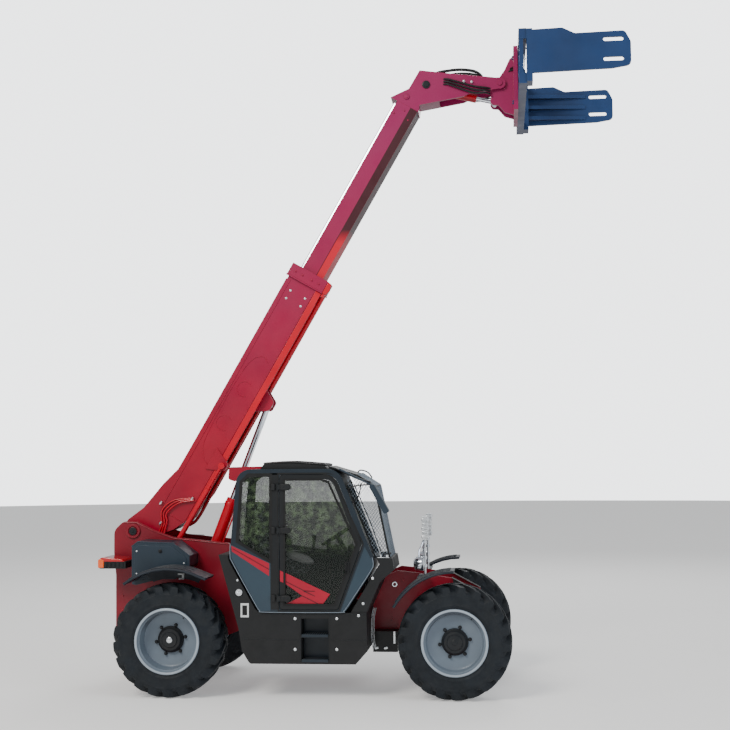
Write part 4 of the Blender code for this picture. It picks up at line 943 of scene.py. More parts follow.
# lighter lower panels of the cab side, and the dark nose ahead of the front wheel arch
for name, outline in (("quarterPanel", [(0.680, 1.590), (1.096, 1.400), (1.096, 0.915), (1.000, 0.905),
                                        (0.975, 0.925), (0.690, 1.455)]),
                      ("frontPanel", [(1.842, 0.935), (2.085, 1.565), (2.175, 1.395), (2.150, 1.335),
                                      (1.885, 0.918),
                                      (1.860, 0.905), (1.830, 0.905)])):
    finishPiece(name, addPlate(bmesh.new(), outline, cabFace - 0.0008, cabFace + 0.001), "panelEnamel",
                "chassis", crisp)
for side, place in bothSides:
    nose = addPlate(bmesh.new(), [(2.965, 0.640), (2.965, 1.172), (3.245, 1.012), (3.245, 0.640)],
                    side * 0.3502, side * 0.354)
    finishPiece("noseCover_" + place, nose, "blackPlastic", "chassis", crisp, bevel=0.001)

noseTop = bmesh.new()
for side in (-1, 1):
    addPlate(noseTop, [(2.950, 1.1815), (3.250, 1.0215), (3.251, 1.0235), (2.951, 1.1835)],
             side * 0.225, side * 0.354)
finishPiece("noseTop", noseTop, "blackPlastic", "chassis", crisp)

# painted flash over the quarter panel and the door glass
flash = {"quarter": [(0.684, 1.583), (1.084, 1.399), (1.083, 1.269), (0.69, 1.524)],
         "door": [(1.241, 1.306), (1.719, 1.082), (1.623, 0.952), (1.230, 0.969), (1.432, 1.063),
                  (1.241, 1.196)],
         "rail": [(1.198, 1.326), (1.239, 1.307), (1.239, 1.197), (1.198, 1.215)]}
finishPiece("flashQuarter", addPlate(bmesh.new(), flash["quarter"], cabFace - 0.0020, cabFace + 0.001),
            "stripeFilm", "chassis", crisp)
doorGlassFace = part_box("door_glass")[0][1]
finishPiece("flashDoor", addPlate(bmesh.new(), flash["door"],
                                  doorGlassFace - 0.0015, doorGlassFace - 0.0002), "stripeFilm", "door", crisp)
finishPiece("flashDoorRail", addPlate(bmesh.new(), flash["rail"],
                                      cabFace - 0.0012, cabFace), "stripeFilm", "door", crisp)
lines = bmesh.new()
for outline in ([(1.26, 1.215), (1.45, 1.12), (1.56, 1.115), (1.56, 1.107), (1.45, 1.111), (1.26, 1.206)],
                [(1.45, 1.118), (1.56, 1.066), (1.56, 1.058), (1.44, 1.110)],
                [(1.43, 1.068), (1.60, 0.985), (1.597, 0.978), (1.425, 1.061)]):
    addPlate(lines, outline, doorGlassFace - 0.0025, doorGlassFace - 0.0010)
finishPiece("flashLines", lines, "stripeLine", "door", crisp)
quarterLine = addPlate(bmesh.new(), [(0.70, 1.556), (1.083, 1.342), (1.083, 1.333), (0.70, 1.547)],
                       cabFace - 0.0028, cabFace - 0.0014)
finishPiece("flashQuarterLine", quarterLine, "stripeLine", "chassis", crisp)

# pale trim bead that follows the cab's lower edge
bead = [(0.672, 1.60), (0.672, 1.47), (0.70, 1.40), (0.94, 0.975), (0.985, 0.915), (1.05, 0.897),
        (1.80, 0.897),
        (1.86, 0.912), (1.905, 0.965), (2.14, 1.315), (2.172, 1.39), (2.160, 1.46)]
finishPiece("cabBead", addTube(bmesh.new(), smoothPath([atPoint(x, cabFace - 0.001, z) for x, z in bead], 5),
                               0.0038, 8),
            "rimEnamel", "chassis")

# door furniture: hinges, handle, grab bar
for k, z in enumerate((1.04, 1.74, 2.19)):
    arm = addPlate(bmesh.new(), [(1.205, z - 0.030), (1.29, z - 0.034), (1.315, z - 0.018), (1.315, z + 0.018),
                                 (1.29, z + 0.034), (1.205, z + 0.030)], cabFace - 0.030, cabFace - 0.001)
    finishPiece("hingeArm_%d" % k, arm, "blackPlastic", "door", crisp, bevel=0.008, segments=3)
    foot = addPlate(bmesh.new(), [(1.108, z - 0.036), (1.150, z - 0.036), (1.150, z + 0.036),
                                  (1.108, z + 0.036)],
                    cabFace - 0.026, cabFace - 0.001)
    finishPiece("hingeFoot_%d" % k, foot, "blackPlastic", "chassis", crisp, bevel=0.008, segments=3)
    boltRow("hingeBolts_%d" % k, [(1.24, cabFace - 0.030, z), (1.28, cabFace - 0.030, z)], (0, -1, 0),
            "castEnamel",
            "door", buttonSource, 0.6)
handle = bmesh.new()
addBox(handle, (1.885, cabFace - 0.012, 1.30), (1.925, cabFace + 0.002, 1.42))
addTube(handle, smoothPath([(1.905, cabFace - 0.008, 1.40), (1.895, cabFace - 0.040, 1.385),
                            (1.885, cabFace - 0.040, 1.33), (1.893, cabFace - 0.008, 1.31)], 5), 0.008, 8)
finishPiece("doorHandle", handle, "blackPlastic", "door", crisp, bevel=0.003)
doorInside = cabFace + 0.050
rail = addTube(bmesh.new(), smoothPath([(1.222, doorInside, 1.60), (1.24, doorInside + 0.022, 1.585),
                                        (1.60, doorInside + 0.022, 1.535),
                                        (1.985, doorInside + 0.022, 1.492),
                                        (2.000, doorInside, 1.492)], 6), 0.014, 10)
addTube(rail, smoothPath([(1.24, doorInside + 0.02, 1.56), (1.60, doorInside + 0.02, 1.508),
                          (1.97, doorInside + 0.02, 1.468)], 6), 0.010, 8)
finishPiece("doorRail", rail, "blackEnamel", "door")

# controls: armrest, joystick, side console, displays
arm = bmesh.new()
bmesh.ops.create_uvsphere(arm, u_segments=24, v_segments=16, radius=1.0)
for vert in arm.verts:
    v = vert.co
    grow = 1.0 + 0.10 * v.x
    vert.co = atPoint(1.385 + 0.155 * v.x, -1.005 + 0.040 * v.y, 1.452 - 0.045 * v.x + 0.050 * grow * v.z)
finishPiece("armPad", arm, "whitePlastic", "chassis", 60.0)
armBar = addTube(bmesh.new(), smoothPath([(1.02, -0.985, 1.50), (1.16, -0.99, 1.505),
                                          (1.30, -1.00, 1.485)], 6), 0.017, 10)
finishPiece("armBar", armBar, "paleGreyEnamel", "chassis")
console = addPlate(bmesh.new(), [(1.12, 0.942), (1.12, 1.43), (1.30, 1.47), (1.62, 1.44), (1.66, 1.38),
                                 (1.60, 0.942)], -0.455, -0.395)
finishPiece("sideConsole", console, "blackPlastic", "chassis", crisp, bevel=0.010, segments=3)


def lever(name, x, y, z, height, lean):
    body = addTurned(bmesh.new(), atPoint(x, y, z), (lean, 0, 1),
                     [(0, 0.032), (0.012, 0.034), (0.045, 0.018), (height * 0.5, 0.012),
                      (height * 0.62, 0.014),
                      (height * 0.80, 0.026), (height * 0.95, 0.024), (height, 0.012), (height, 0.0)], 20)
    return finishPiece(name, body, "blackPlastic", "chassis", 45.0)


lever("joystick", 1.45, -0.425, 1.455, 0.20, 0.05)
lever("driveLever", 1.600, -0.425, 1.440, 0.14, 0.15)
panel = addPlate(bmesh.new(), [(1.915, 1.425), (1.875, 1.56), (1.895, 1.572), (1.99, 1.45), (1.99, 1.425)],
                 -0.86, -0.58)
finishPiece("instrumentHood", panel, "blackPlastic", "chassis", crisp, bevel=0.010, segments=3)
screen = addPlate(bmesh.new(), [(1.9075, 1.437), (1.8735, 1.550), (1.8755, 1.551), (1.9095, 1.438)], -0.84, -0.60)
finishPiece("instrumentGlass", screen, "mirrorGlass", "chassis", crisp)
steerHub, steerFoot = atPoint(1.745, -0.72, 1.66), atPoint(1.905, -0.72, 1.40)
steerAxis = (steerHub - steerFoot).normalized()
wheelRim = addRing(bmesh.new(), steerHub, steerAxis,
                   [(0.0165 * math.cos(a), 0.175 + 0.0165 * math.sin(a)) for a in
                    [i * math.pi / 6 for i in range(12)]], 64)
finishPiece("steeringGrip", wheelRim, "sealRubber", "chassis", 60.0)
hubPad = addTurned(bmesh.new(), steerHub - steerAxis * 0.02, steerAxis,
                   [(0, 0.050), (0.030, 0.052), (0.040, 0.044), (0.044, 0.020), (0.044, 0.0)], 32)
finishPiece("steeringHub", hubPad, "blackPlastic", "chassis", 40.0)
gaiter = addTurned(bmesh.new(), steerFoot - steerAxis * 0.01, steerAxis,
                   [(0, 0.062)]
                   + [(0.01 + 0.012 * i, 0.056 - 0.002 * i + (0.007 if i % 2 else 0)) for i in range(9)]
                   + [(0.125, 0.027)], 24)
finishPiece("columnGaiter", gaiter, "sealRubber", "chassis", 60.0)
for k, x in enumerate((1.60, 1.68)):
    pedal = addPlate(bmesh.new(), [(x, 0.99), (x + 0.012, 0.985), (x + 0.06, 1.10), (x + 0.048, 1.105)],
                     -0.90 + 0.26 * k, -0.82 + 0.26 * k)
    finishPiece("pedal_%d" % k, pedal, "sealRubber", "chassis", crisp, bevel=0.003)

# roof: hatch frame with bars and bolts, wiper, mirror brackets and the near mirror's glass
roofBars = bmesh.new()
for y in (-0.93, -0.80, -0.66, -0.53):
    addTube(roofBars, smoothPath([(1.02, y, 2.440), (1.30, y, 2.452), (1.66, y, 2.424)], 6), 0.009, 8)
finishPiece("roofBars", roofBars, "blackEnamel", "chassis")
roofRim = addTube(bmesh.new(), [atPoint(1.02, -1.03, 2.437), atPoint(1.30, -1.03, 2.444),
                                atPoint(1.66, -1.03, 2.418),
                                atPoint(1.66, -0.43, 2.418), atPoint(1.30, -0.43, 2.444),
                                atPoint(1.02, -0.43, 2.437),
                                atPoint(1.02, -1.03, 2.437)], 0.010, 8)
finishPiece("roofRim", roofRim, "blackEnamel", "chassis")
boltRow("roofBolts", [(1.06, y, 2.438) for y in (-0.99, -0.47)] + [(1.62, y, 2.424) for y in (-0.99, -0.47)],
        (0, 0, 1), "zincPlate", "chassis", buttonSource, 0.9)
boltRow("sideBarBolts", [(0.636, -0.339, 2.312), (0.95, -0.339, 2.37)], (0, -1, 0), "zincPlate", "chassis",
        buttonSource, 1.1)
wiper = addTube(bmesh.new(), smoothPath([(1.885, -0.73, 2.22), (1.905, -0.73, 2.235),
                                         (1.955, -0.74, 2.10), (2.075, -0.84, 1.78)], 6), 0.008, 8)
addTube(wiper, smoothPath([(1.985, -0.80, 1.985), (2.068, -0.82, 1.78), (2.145, -0.84, 1.58)], 6),
        0.007, 8)
finishPiece("wiper", wiper, "sealRubber", "chassis")
brackets = bmesh.new()
addTube(brackets, smoothPath([(1.76, -1.07, 2.385), (1.95, -1.085, 2.30), (2.02, -1.09, 2.27),
                              (2.15, -1.095, 2.235)], 6), 0.010, 8)
addTube(brackets, smoothPath([(1.90, -1.06, 2.16), (2.0, -1.075, 2.20), (2.16, -1.09, 2.21)], 6),
        0.008, 8)
addTube(brackets, smoothPath([(1.95, -1.05, 2.02), (2.02, -1.06, 2.10), (2.05, -1.08, 2.23)], 6),
        0.007, 8)
finishPiece("mirrorBrackets", brackets, "blackEnamel", "chassis")
farBracket = addTube(bmesh.new(), smoothPath([(1.93, -0.41, 2.31), (1.97, -0.405, 2.352),
                                              (2.05, -0.405, 2.33), (2.10, -0.41, 2.27)], 6), 0.008, 8)
finishPiece("farBracket", farBracket, "blackEnamel", "chassis")
mirrorFace = addPlate(bmesh.new(), [(2.140, 2.175), (2.145, 2.178), (2.283, 1.93), (2.278, 1.927)],
                      -1.132, -1.052)
finishPiece("mirrorGlassNear", mirrorFace, "mirrorGlass", "chassis", crisp)

# woven wire over the windscreen guard, at its front, its sides and its sloping top
weave = {"pitch": 0.027, "wire": 0.0020}


# Part of a line inside a convex polygon, or None
def clipLine(origin, direction, polygon):
    low, high = -10.0, 10.0
    area = sum(here[0] * after[1] - after[0] * here[1]
               for here, after in zip(polygon, polygon[1:] + polygon[:1]))
    sign = 1.0 if area > 0 else -1.0
    for i, corner in enumerate(polygon):
        edge = Vector(polygon[(i + 1) % len(polygon)]) - Vector(corner)
        inward = Vector((-edge.y, edge.x)) * sign
        speed = inward.dot(direction)
        gap = inward.dot(Vector(corner) - origin)
        if abs(speed) < 1e-9:
            if gap > 0:
                return None
        elif speed > 0:
            low = max(low, gap / speed)
        else:
            high = min(high, gap / speed)
    return (origin + direction * low, origin + direction * high) if high - low > 0.006 else None


# Diamond lattice inside a convex polygon of flat points, put into space by toSpace
def meshPanel(carrier, polygon, toSpace, pitch):
    for slant in (0.95, -0.95):
        direction = Vector((math.cos(slant), math.sin(slant)))
        across = Vector((-direction.y, direction.x))
        reach = [across.dot(Vector(p)) for p in polygon]
        step = math.floor(min(reach) / pitch)
        while step * pitch < max(reach):
            cut = clipLine(across * (step * pitch), direction, polygon)
            if cut:
                ends = [carrier.verts.new(toSpace(p.x, p.y)) for p in cut]
                carrier.edges.new(ends)
            step += 1


def wireTree():
    tree, given, result = newTree("wovenWire", [("Wire Radius", "NodeSocketFloat"),
                                                ("Finish", "NodeSocketMaterial")])
    lines = addNode(tree, "GeometryNodeMeshToCurve", links={0: given.outputs["Geometry"]})
    ring = addNode(tree, "GeometryNodeCurvePrimitiveCircle", {"Resolution": 5},
                   {"Radius": given.outputs["Wire Radius"]})
    wires = addNode(tree, "GeometryNodeCurveToMesh", {"Fill Caps": True},
                    {"Curve": lines.outputs[0], "Profile Curve": ring.outputs[0]})
    return closeTree(tree, given, result, wires)


trees["wire"] = wireTree()
wires = bmesh.new()
for y in (-1.036, -0.364):
    for polygon in ([(1.885, 2.325), (1.995, 2.30), (2.185, 2.178), (2.08, 1.77), (1.905, 2.21)],
                    [(2.185, 2.178), (2.332, 1.455), (2.185, 1.455), (2.08, 1.77)]):
        meshPanel(wires, polygon, lambda u, v, y=y: atPoint(u, y, v), weave["pitch"])
front = (Vector((2.197, 2.185)), Vector((2.344, 1.455)))
meshPanel(wires, [(-1.03, 0.0), (-0.37, 0.0), (-0.37, 0.745), (-1.03, 0.745)],
          lambda u, v: atPoint(front[0].x + (front[1].x - front[0].x) * v / 0.745, u,
                               front[0].y + (front[1].y - front[0].y) * v / 0.745), weave["pitch"])
meshPanel(wires, [(-1.02, 0.0), (-0.38, 0.0), (-0.38, 0.235), (-1.02, 0.235)],
          lambda u, v: atPoint(2.0 + 0.195 * v / 0.235, u, 2.323 - 0.125 * v / 0.235), weave["pitch"])
wireCarrier = bpy.data.meshes.new("wireCarrier")
wires.to_mesh(wireCarrier)
wires.free()
finishPiece("guardMesh", grownMesh(wireCarrier, trees["wire"], {"Wire Radius": weave["wire"],
                                                                "Finish": finishes["rimEnamel"]}),
            "rimEnamel", "chassis", 60.0)
edge = bmesh.new()
for y in (-1.036, -0.364):
    addTube(edge, [atPoint(x, y, z) for x, z in ((1.895, 2.20), (2.08, 1.765), (2.185, 1.462),
                                                 (2.332, 1.462))], 0.007, 8)
finishPiece("guardSideBars", edge, "blackEnamel", "chassis")

# work lamps and mirror heads on the two stalks ahead of the cab
for side, place in bothSides:
    lamp = addTurned(bmesh.new(), atPoint(2.556, side * 0.40, 1.34), (1, 0, 0),
                     [(-0.016, 0.0), (-0.014, 0.035), (0.0, 0.062), (0.012, 0.074), (0.070, 0.076),
                      (0.088, 0.080),
                      (0.094, 0.078), (0.094, 0.068), (0.088, 0.066), (0.086, 0.0)], 32)
    finishPiece("lampShell_" + place, lamp, "hardChrome", "chassis", 50.0)
    glass = addTurned(bmesh.new(), atPoint(2.646, side * 0.40, 1.34), (1, 0, 0),
                      [(-0.004, 0.0), (-0.004, 0.065), (0.004, 0.062), (0.010, 0.040), (0.012, 0.0)], 32)
    finishPiece("lampGlass_" + place, glass, "clearLens", "chassis", 50.0)
    clamps = bmesh.new()
    for z in (1.300, 1.385, 1.470, 1.555):
        addTurned(clamps, atPoint(2.66, side * 0.315, z), (0, 0, 1),
                  [(0, 0.0), (0, 0.024), (0.028, 0.024), (0.028, 0.0)], 16)
        addBox(clamps, (2.628, min(side * 0.300, side * 0.330), z + 0.004),
               (2.66, max(side * 0.300, side * 0.330), z + 0.024))
    finishPiece("stalkClamps_" + place, clamps, "hardChrome", "chassis", 40.0)
    stack = bmesh.new()
    for k in range(5):
        z = 1.615 + 0.046 * k
        addBox(stack, (2.632 + 0.006 * (k % 2), min(side * 0.262, side * 0.448), z),
               (2.708 - 0.006 * (k % 2), max(side * 0.262, side * 0.448), z + 0.030))
    finishPiece("mirrorStack_" + place, stack, "zincPlate", "chassis", crisp, bevel=0.006, segments=3)
    brace = addTube(bmesh.new(), smoothPath([(2.60, side * 0.40, 1.40), (2.60, side * 0.385, 1.47),
                                             (2.63, side * 0.34, 1.54), (2.65, side * 0.32, 1.60)], 6), 0.009, 8)
    finishPiece("lampBrace_" + place, brace, "hardChrome", "chassis")

# cowl top: filler neck, washer pot, brackets
neck = addTurned(bmesh.new(), atPoint(2.29, -0.98, 1.449), (0, 0, 1),
                 [(0, 0.060), (0.010, 0.062), (0.014, 0.050), (0.030, 0.050), (0.034, 0.058), (0.052, 0.058),
                  (0.060, 0.045), (0.060, 0.0)], 32)
finishPiece("cowlCap", neck, "blackPlastic", "chassis", crisp)
fittings = bmesh.new()
addTurned(fittings, atPoint(2.245, -1.06, 1.452), (0, 0, 1),
          [(0, 0.012), (0.03, 0.012), (0.034, 0.007), (0.034, 0)], 16)
addBox(fittings, (2.215, -1.085, 1.452), (2.335, -1.060, 1.460))
addBox(fittings, (2.30, -1.08, 1.46), (2.325, -1.06, 1.485))
finishPiece("cowlFittings", fittings, "zincPlate", "chassis", crisp, bevel=0.002)
print("cab dressed")

# Boom
boomSide = 0.18
outerBottom = -0.46
innerSide = 0.155
for side, place in bothSides:
    y = side * (boomSide + 0.0005)
    fold = bmesh.new()
    for above in (-0.118, -0.425):
        addTube(fold, [onBoom(0.34, above, y), onBoom(3.30, above, y)], 0.0055, 8)
    addTube(fold, [onBoom(0.34, -0.118, y), onBoom(0.34, -0.425, y)], 0.0055, 8)
    finishPiece("boomFold_" + place, fold, "boomEnamel", "boom")
    strip = addPlate(bmesh.new(), [(0.55, -0.470), (0.75, -0.505), (3.335, -0.505), (3.335, -0.436),
                                   (0.40, -0.436)],
                     y, y + side * 0.008, place=boomPlace)
    finishPiece("boomLowerStrip_" + place, strip, "cylinderEnamel", "boom", crisp, bevel=0.003)
    rowOf("collarBolts_" + place, boltSource,
          [(onBoom(3.415, above, side * 0.205), Vector((0, side, 0))) for above in (-0.13, -0.22, -0.34,
                                                                                    -0.43)],
          "boomEnamel", "boom", 1.0)
    rowOf("padBolts_" + place, buttonSource,
          [(onBoom(along, above, side * boomSide), Vector((0, side, 0)))
           for along in (3.10, 3.20) for above in (-0.18, -0.37)], "zincPlate", "boom", 1.0)
    collarEdge = addPlate(bmesh.new(), [(3.335, -0.050), (3.350, -0.050), (3.350, -0.515), (3.335, -0.515)],
                          side * 0.200, side * 0.214, place=boomPlace)
    finishPiece("collarRim_" + place, collarEdge, "boomEnamel", "boom", crisp, bevel=0.004)
for side, place in bothSides:
    y = side * (boomSide + 0.0005)
    pressing = bmesh.new()
    addTube(pressing, smoothPath([onBoom(a, h, y) for a, h in ((1.02, -0.39), (1.06, -0.29), (1.16, -0.20),
                                                               (1.32, -0.16),
                                                               (1.70, -0.145), (2.05, -0.150), (2.26, -0.175),
                                                               (2.36, -0.225), (2.40, -0.30), (2.36, -0.37))], 6),
            0.0035, 6)
    for along, above in ((1.534, -0.262), (1.977, -0.276)):
        addTube(pressing, [onBoom(along + 0.085 * math.cos(a), above + 0.085 * math.sin(a), y)
                           for a in [math.radians(-40 + 260 * i / 28) for i in range(29)]], 0.0035, 6)
    finishPiece("boomPressing_" + place, pressing, "boomEnamel", "boom")
for k, along in enumerate((0.62, 1.35, 2.05, 2.72)):
    band = bmesh.new()
    addPlate(band, [(along, outerBottom - 0.012), (along + 0.05, outerBottom - 0.012),
                    (along + 0.05, outerBottom),
                    (along, outerBottom)], -0.15, 0.15, place=boomPlace)
    finishPiece("underBand_%d" % k, band, "blackEnamel", "boom", crisp, bevel=0.003)
under = bmesh.new()
for y in (-0.150, -0.120, 0.120, 0.150):
    addTube(under, smoothPath([onBoom(0.30, outerBottom + 0.02, y * 0.8),
                               onBoom(0.42, outerBottom - 0.022, y),
                               onBoom(0.80, outerBottom - 0.024, y), onBoom(2.2, outerBottom - 0.024, y),
                               onBoom(3.20, outerBottom - 0.024, y)], 8), 0.016, 8)
finishPiece("underPipes", under, "cylinderEnamel", "boom")
latch = bmesh.new()
addPlate(latch, [(3.345, -0.560), (3.405, -0.575), (3.480, -0.560), (3.488, -0.512), (3.345, -0.512)], -0.205,
         -0.150, place=boomPlace)
addPlate(latch, [(3.300, -0.545), (3.350, -0.545), (3.350, -0.515), (3.300, -0.515)], -0.195, -0.160,
         place=boomPlace)
finishPiece("collarLatch", latch, "cylinderEnamel", "boom", crisp, bevel=0.005)
valve = bmesh.new()
addPlate(valve, [(3.30, -0.505), (3.34, -0.505), (3.34, -0.46), (3.30, -0.46)], -0.14, 0.14, place=boomPlace)
finishPiece("pipeYoke", valve, "boomEnamel", "boom", crisp, bevel=0.004)

# hoses and fittings by the pivot, pipes along the boom's top
pivotHoses = bmesh.new()
for k, lift in enumerate((0.0, 0.032, 0.064)):
    y = -0.198 - 0.006 * k
    addTube(pivotHoses, smoothPath([(-0.34 + lift, -0.24, 1.50), (-0.33 + lift, y, 1.66),
                                    onBoom(0.20 + lift, -0.22 - lift * 0.5, y), onBoom(0.34, -0.14 - lift, y),
                                    onBoom(0.50, -0.20 - lift, y), onBoom(0.62, -0.36 - lift * 0.7, y)], 8),
            0.0085, 8)
finishPiece("pivotHoses", pivotHoses, "cylinderEnamel", "boom")
fittings = bmesh.new()
for along, above, y in ((0.405, -0.088, -0.200), (0.207, -0.199, -0.200), (0.62, -0.375, -0.200)):
    foot = onBoom(along - 0.02, above, y)
    addTurned(fittings, foot, onBoom(along + 0.02, above, y) - foot,
              [(0, 0.0), (0, 0.011), (0.010, 0.016), (0.026, 0.016), (0.030, 0.011), (0.042, 0.011), (0.042, 0.0)],
              12)
finishPiece("pivotFittings", fittings, "zincPlate", "boom", crisp)
topPipes = bmesh.new()
topLine = ((0.34, -0.052), (0.48, -0.045), (0.85, -0.062), (1.6, -0.066), (3.30, -0.066))
for y in (-0.12, 0.12):
    addTube(topPipes, smoothPath([onBoom(along, above, y) for along, above in topLine], 6), 0.010, 8)
finishPiece("topPipes", topPipes, "boomEnamel", "boom")

# bolts at the inner boom's head
for side, place in bothSides:
    rowOf("headBolts_" + place, boltSource,
          [(onBoom(along, above, side * innerSide), Vector((0, side, 0)))
           for along, above in ((5.52, -0.21), (5.52, -0.39), (5.60, -0.30))], "boomEnamel", "inner_boom", 0.8)
# head: pin bosses, edge bars, hoses that loop over the top to the clamp
headSide = 0.152
pins = {"tiltFoot": (2.722, 6.680), "rodEnd": (2.50, 6.55)}
for side, place in bothSides:
    for label, (x, z) in pins.items():
        big = 1.0 if label != "rodEnd" else 0.7
        cap = addTurned(bmesh.new(), atPoint(x, side * headSide, z), (0, side, 0),
                        [(-0.004, 0.0), (-0.004, 0.044 * big), (0.010, 0.044 * big), (0.012, 0.040 * big),
                         (0.012, 0.027 * big), (0.018, 0.025 * big), (0.018, 0.0)], 28)
        finishPiece(label + "Boss_" + place, cap, "castEnamel" if label == "tiltFoot" else "boomEnamel",
                    "inner_boom", crisp)
    edge = addTube(bmesh.new(), [atPoint(2.649, side * 0.135, 6.842), atPoint(3.058, side * 0.135, 6.783),
                                 atPoint(3.488, side * 0.135, 6.730)], 0.012, 8)
    finishPiece("headEdge_" + place, edge, "boomEnamel", "inner_boom")
loops = bmesh.new()
for k, y in enumerate((-0.105, -0.070, 0.070, 0.105)):
    rise = 0.020 * (k % 2)
    addTube(loops, smoothPath([(2.60, y, 6.50), (2.66, y, 6.66), (2.80, y, 6.80 + rise),
                               (3.00, y, 6.842 + rise), (3.16, y * 0.9, 6.845 + rise),
                               (3.30, y * 0.8, 6.81 + rise), (3.40, y * 0.7, 6.72)], 8), 0.0125, 10)
for side in (-1, 1):
    for k in range(3):
        y, drop = side * (0.166 + 0.004 * k), 0.030 * k
        addTube(loops, smoothPath([(2.92, side * 0.150, 6.735 - drop), (2.97, y, 6.730 - drop),
                                   (3.10, y, 6.690 - drop * 1.2), (3.26, y, 6.640 - drop * 1.3),
                                   (3.38, y, 6.620 - drop), (3.44, side * 0.150, 6.610 - drop)], 8), 0.0105, 10)
finishPiece("headHoses", loops, "hoseRubber", "inner_boom")
nipples = bmesh.new()
for x, z in ((3.148, 6.700), (3.235, 6.690)):
    addTurned(nipples, atPoint(x, -0.150, z), (0, -1, 0.1),
              [(0, 0.0), (0, 0.013), (0.012, 0.013), (0.014, 0.009), (0.030, 0.009), (0.032, 0.0)], 12)
finishPiece("headFittings", nipples, "zincPlate", "inner_boom", crisp)
eyeAt = onBoom(1.11, -0.49)
eye = addRing(bmesh.new(), Vector((eyeAt.x, -0.2655, eyeAt.z)), (0, 1, 0),
              [(0, 0.022), (0.062, 0.022), (0.062, 0.0355), (0, 0.0355)], 28)
finishPiece("compRodEye", eye, "cylinderEnamel", "comp_rod", 40.0)
print("boom dressed")

# Clamp
# hydraulic cylinder across the frame: the tube stays on the carriage, each rod rides on its arm
clampRail = {"x": 3.788, "z": 6.678, "inner": 0.020, "tube": 0.033, "rod": 0.018}
for side, place, arm in ((-1, "near", "near_clamp_arm"), (1, "far", "far_clamp_arm")):
    out = (0, side, 0)
    tube = addRing(bmesh.new(), atPoint(clampRail["x"], side * clampRail["inner"], clampRail["z"]), out,
                   [(0, clampRail["rod"] + 0.003), (0.5, clampRail["rod"] + 0.003), (0.5, 0.040), (0.465, 0.040),
                    (0.460, clampRail["tube"]), (0.030, clampRail["tube"]), (0.025, 0.038), (0, 0.038)], 32)
    finishPiece("clampCylinder_" + place, tube, "clampEnamel", "carriage", 40.0)
    rod = addTurned(bmesh.new(), atPoint(clampRail["x"], side * 1.108, clampRail["z"]), (0, -side, 0),
                    [(0, clampRail["rod"]), (0.635, clampRail["rod"]), (0.640, clampRail["rod"] - 0.003),
                     (0.640, 0)], 24)
    finishPiece("clampRod_" + place, rod, "hardChrome", arm, 40.0)
    hose = bmesh.new()
    for k, start in enumerate((0.05, 0.43)):
        addTube(hose, smoothPath([(3.600, side * 0.06, 6.76 + 0.03 * k), (3.68, side * 0.12, 6.82 + 0.02 * k),
                                  (3.78, side * (0.16 + 0.2 * k), 6.80 + 0.01 * k),
                                  (3.79, side * (start + 0.03), 6.76),
                                  (clampRail["x"], side * (start + 0.02), 6.712)], 8), 0.0095, 10)
    finishPiece("clampHoses_" + place, hose, "hoseRubber", "carriage")
    ports = bmesh.new()
    for start in (0.05, 0.43):
        addTurned(ports, atPoint(clampRail["x"], side * (start + 0.02), 6.706), (0, 0, 1),
                  [(0, 0.0), (0, 0.015), (0.016, 0.015), (0.018, 0.012), (0.030, 0.012), (0.030, 0.0)], 12)
    finishPiece("clampPorts_" + place, ports, "zincPlate", "carriage", crisp)
rowOf("carriageBolts", boltSource,
      [(atPoint(3.700, y, z), Vector((-1, 0, 0))) for y in (-0.36, -0.27, 0.27, 0.36) for z in (6.40, 6.90)],
      "clampEnamel", "carriage", 1.1)
rowOf("frameBolts", boltSource,
      [(atPoint(3.83, y, z), Vector((1, 0, 0))) for y in (-0.95, -0.60, -0.22, 0.22, 0.60,
                                                          0.95) for z in (6.44, 6.915)],
      "clampEnamel", "carriage", 0.9)
print("clamp dressed")

# Engine side
louvre = bmesh.new()
addPlate(louvre, [(-0.012, 0.0), (0.012, 0.0), (0.010, 0.006), (-0.004, 0.012)], -0.10, 0.10,
         place=lambda x, y, z: Vector((y, x, z)))
louvreSource = stamp("louvre", louvre)
rowOf("hoodLouvres", louvreSource,
      [(atPoint(x, 1.08, 0.74 + 0.042 * i), Vector((0, 1, 0))) for x in (1.08, 1.36,
                                                                         1.64) for i in range(10)],
      "boxEnamel", "chassis")
hoodTrim = addTube(bmesh.new(), smoothPath([atPoint(x, 1.081, z) for x, z in
                                            ((0.80, 0.60), (0.80, 1.20), (0.96, 1.295), (1.88, 1.255),
                                             (2.07, 1.04),
                                             (2.08, 0.62))], 5), 0.006, 8)
finishPiece("hoodTrim", hoodTrim, "paleGreyEnamel", "chassis")
rowOf("hoodBolts", buttonSource, [(atPoint(x, 1.08, z), Vector((0, 1, 0))) for x, z in
                                  ((0.86, 0.64), (0.86, 1.18), (2.02, 0.64), (2.0, 1.05))], "zincPlate",
      "chassis", 1.1)
hoodLatch = bmesh.new()
addBox(hoodLatch, (1.36, 1.078, 1.20), (1.44, 1.096, 1.235))
addBox(hoodLatch, (1.38, 1.090, 1.17), (1.42, 1.102, 1.21))
finishPiece("hoodLatch", hoodLatch, "blackPlastic", "chassis", crisp, bevel=0.004)
exhaust = addTube(bmesh.new(), smoothPath([(1.02, 0.62, 1.29), (1.02, 0.62, 1.42), (1.01, 0.62, 1.52),
                                           (0.955, 0.62, 1.60), (0.90, 0.62, 1.63)], 8), 0.038, 24)
finishPiece("exhaustPipe", exhaust, "blackEnamel", "chassis", 50.0)
exhaustCollar = addTurned(bmesh.new(), atPoint(1.02, 0.62, 1.300), (0, 0, 1),
                          [(0, 0.062), (0.010, 0.062), (0.016, 0.048), (0.030, 0.048), (0.030, 0.0)], 28)
finishPiece("exhaustCollar", exhaustCollar, "zincPlate", "chassis", crisp)
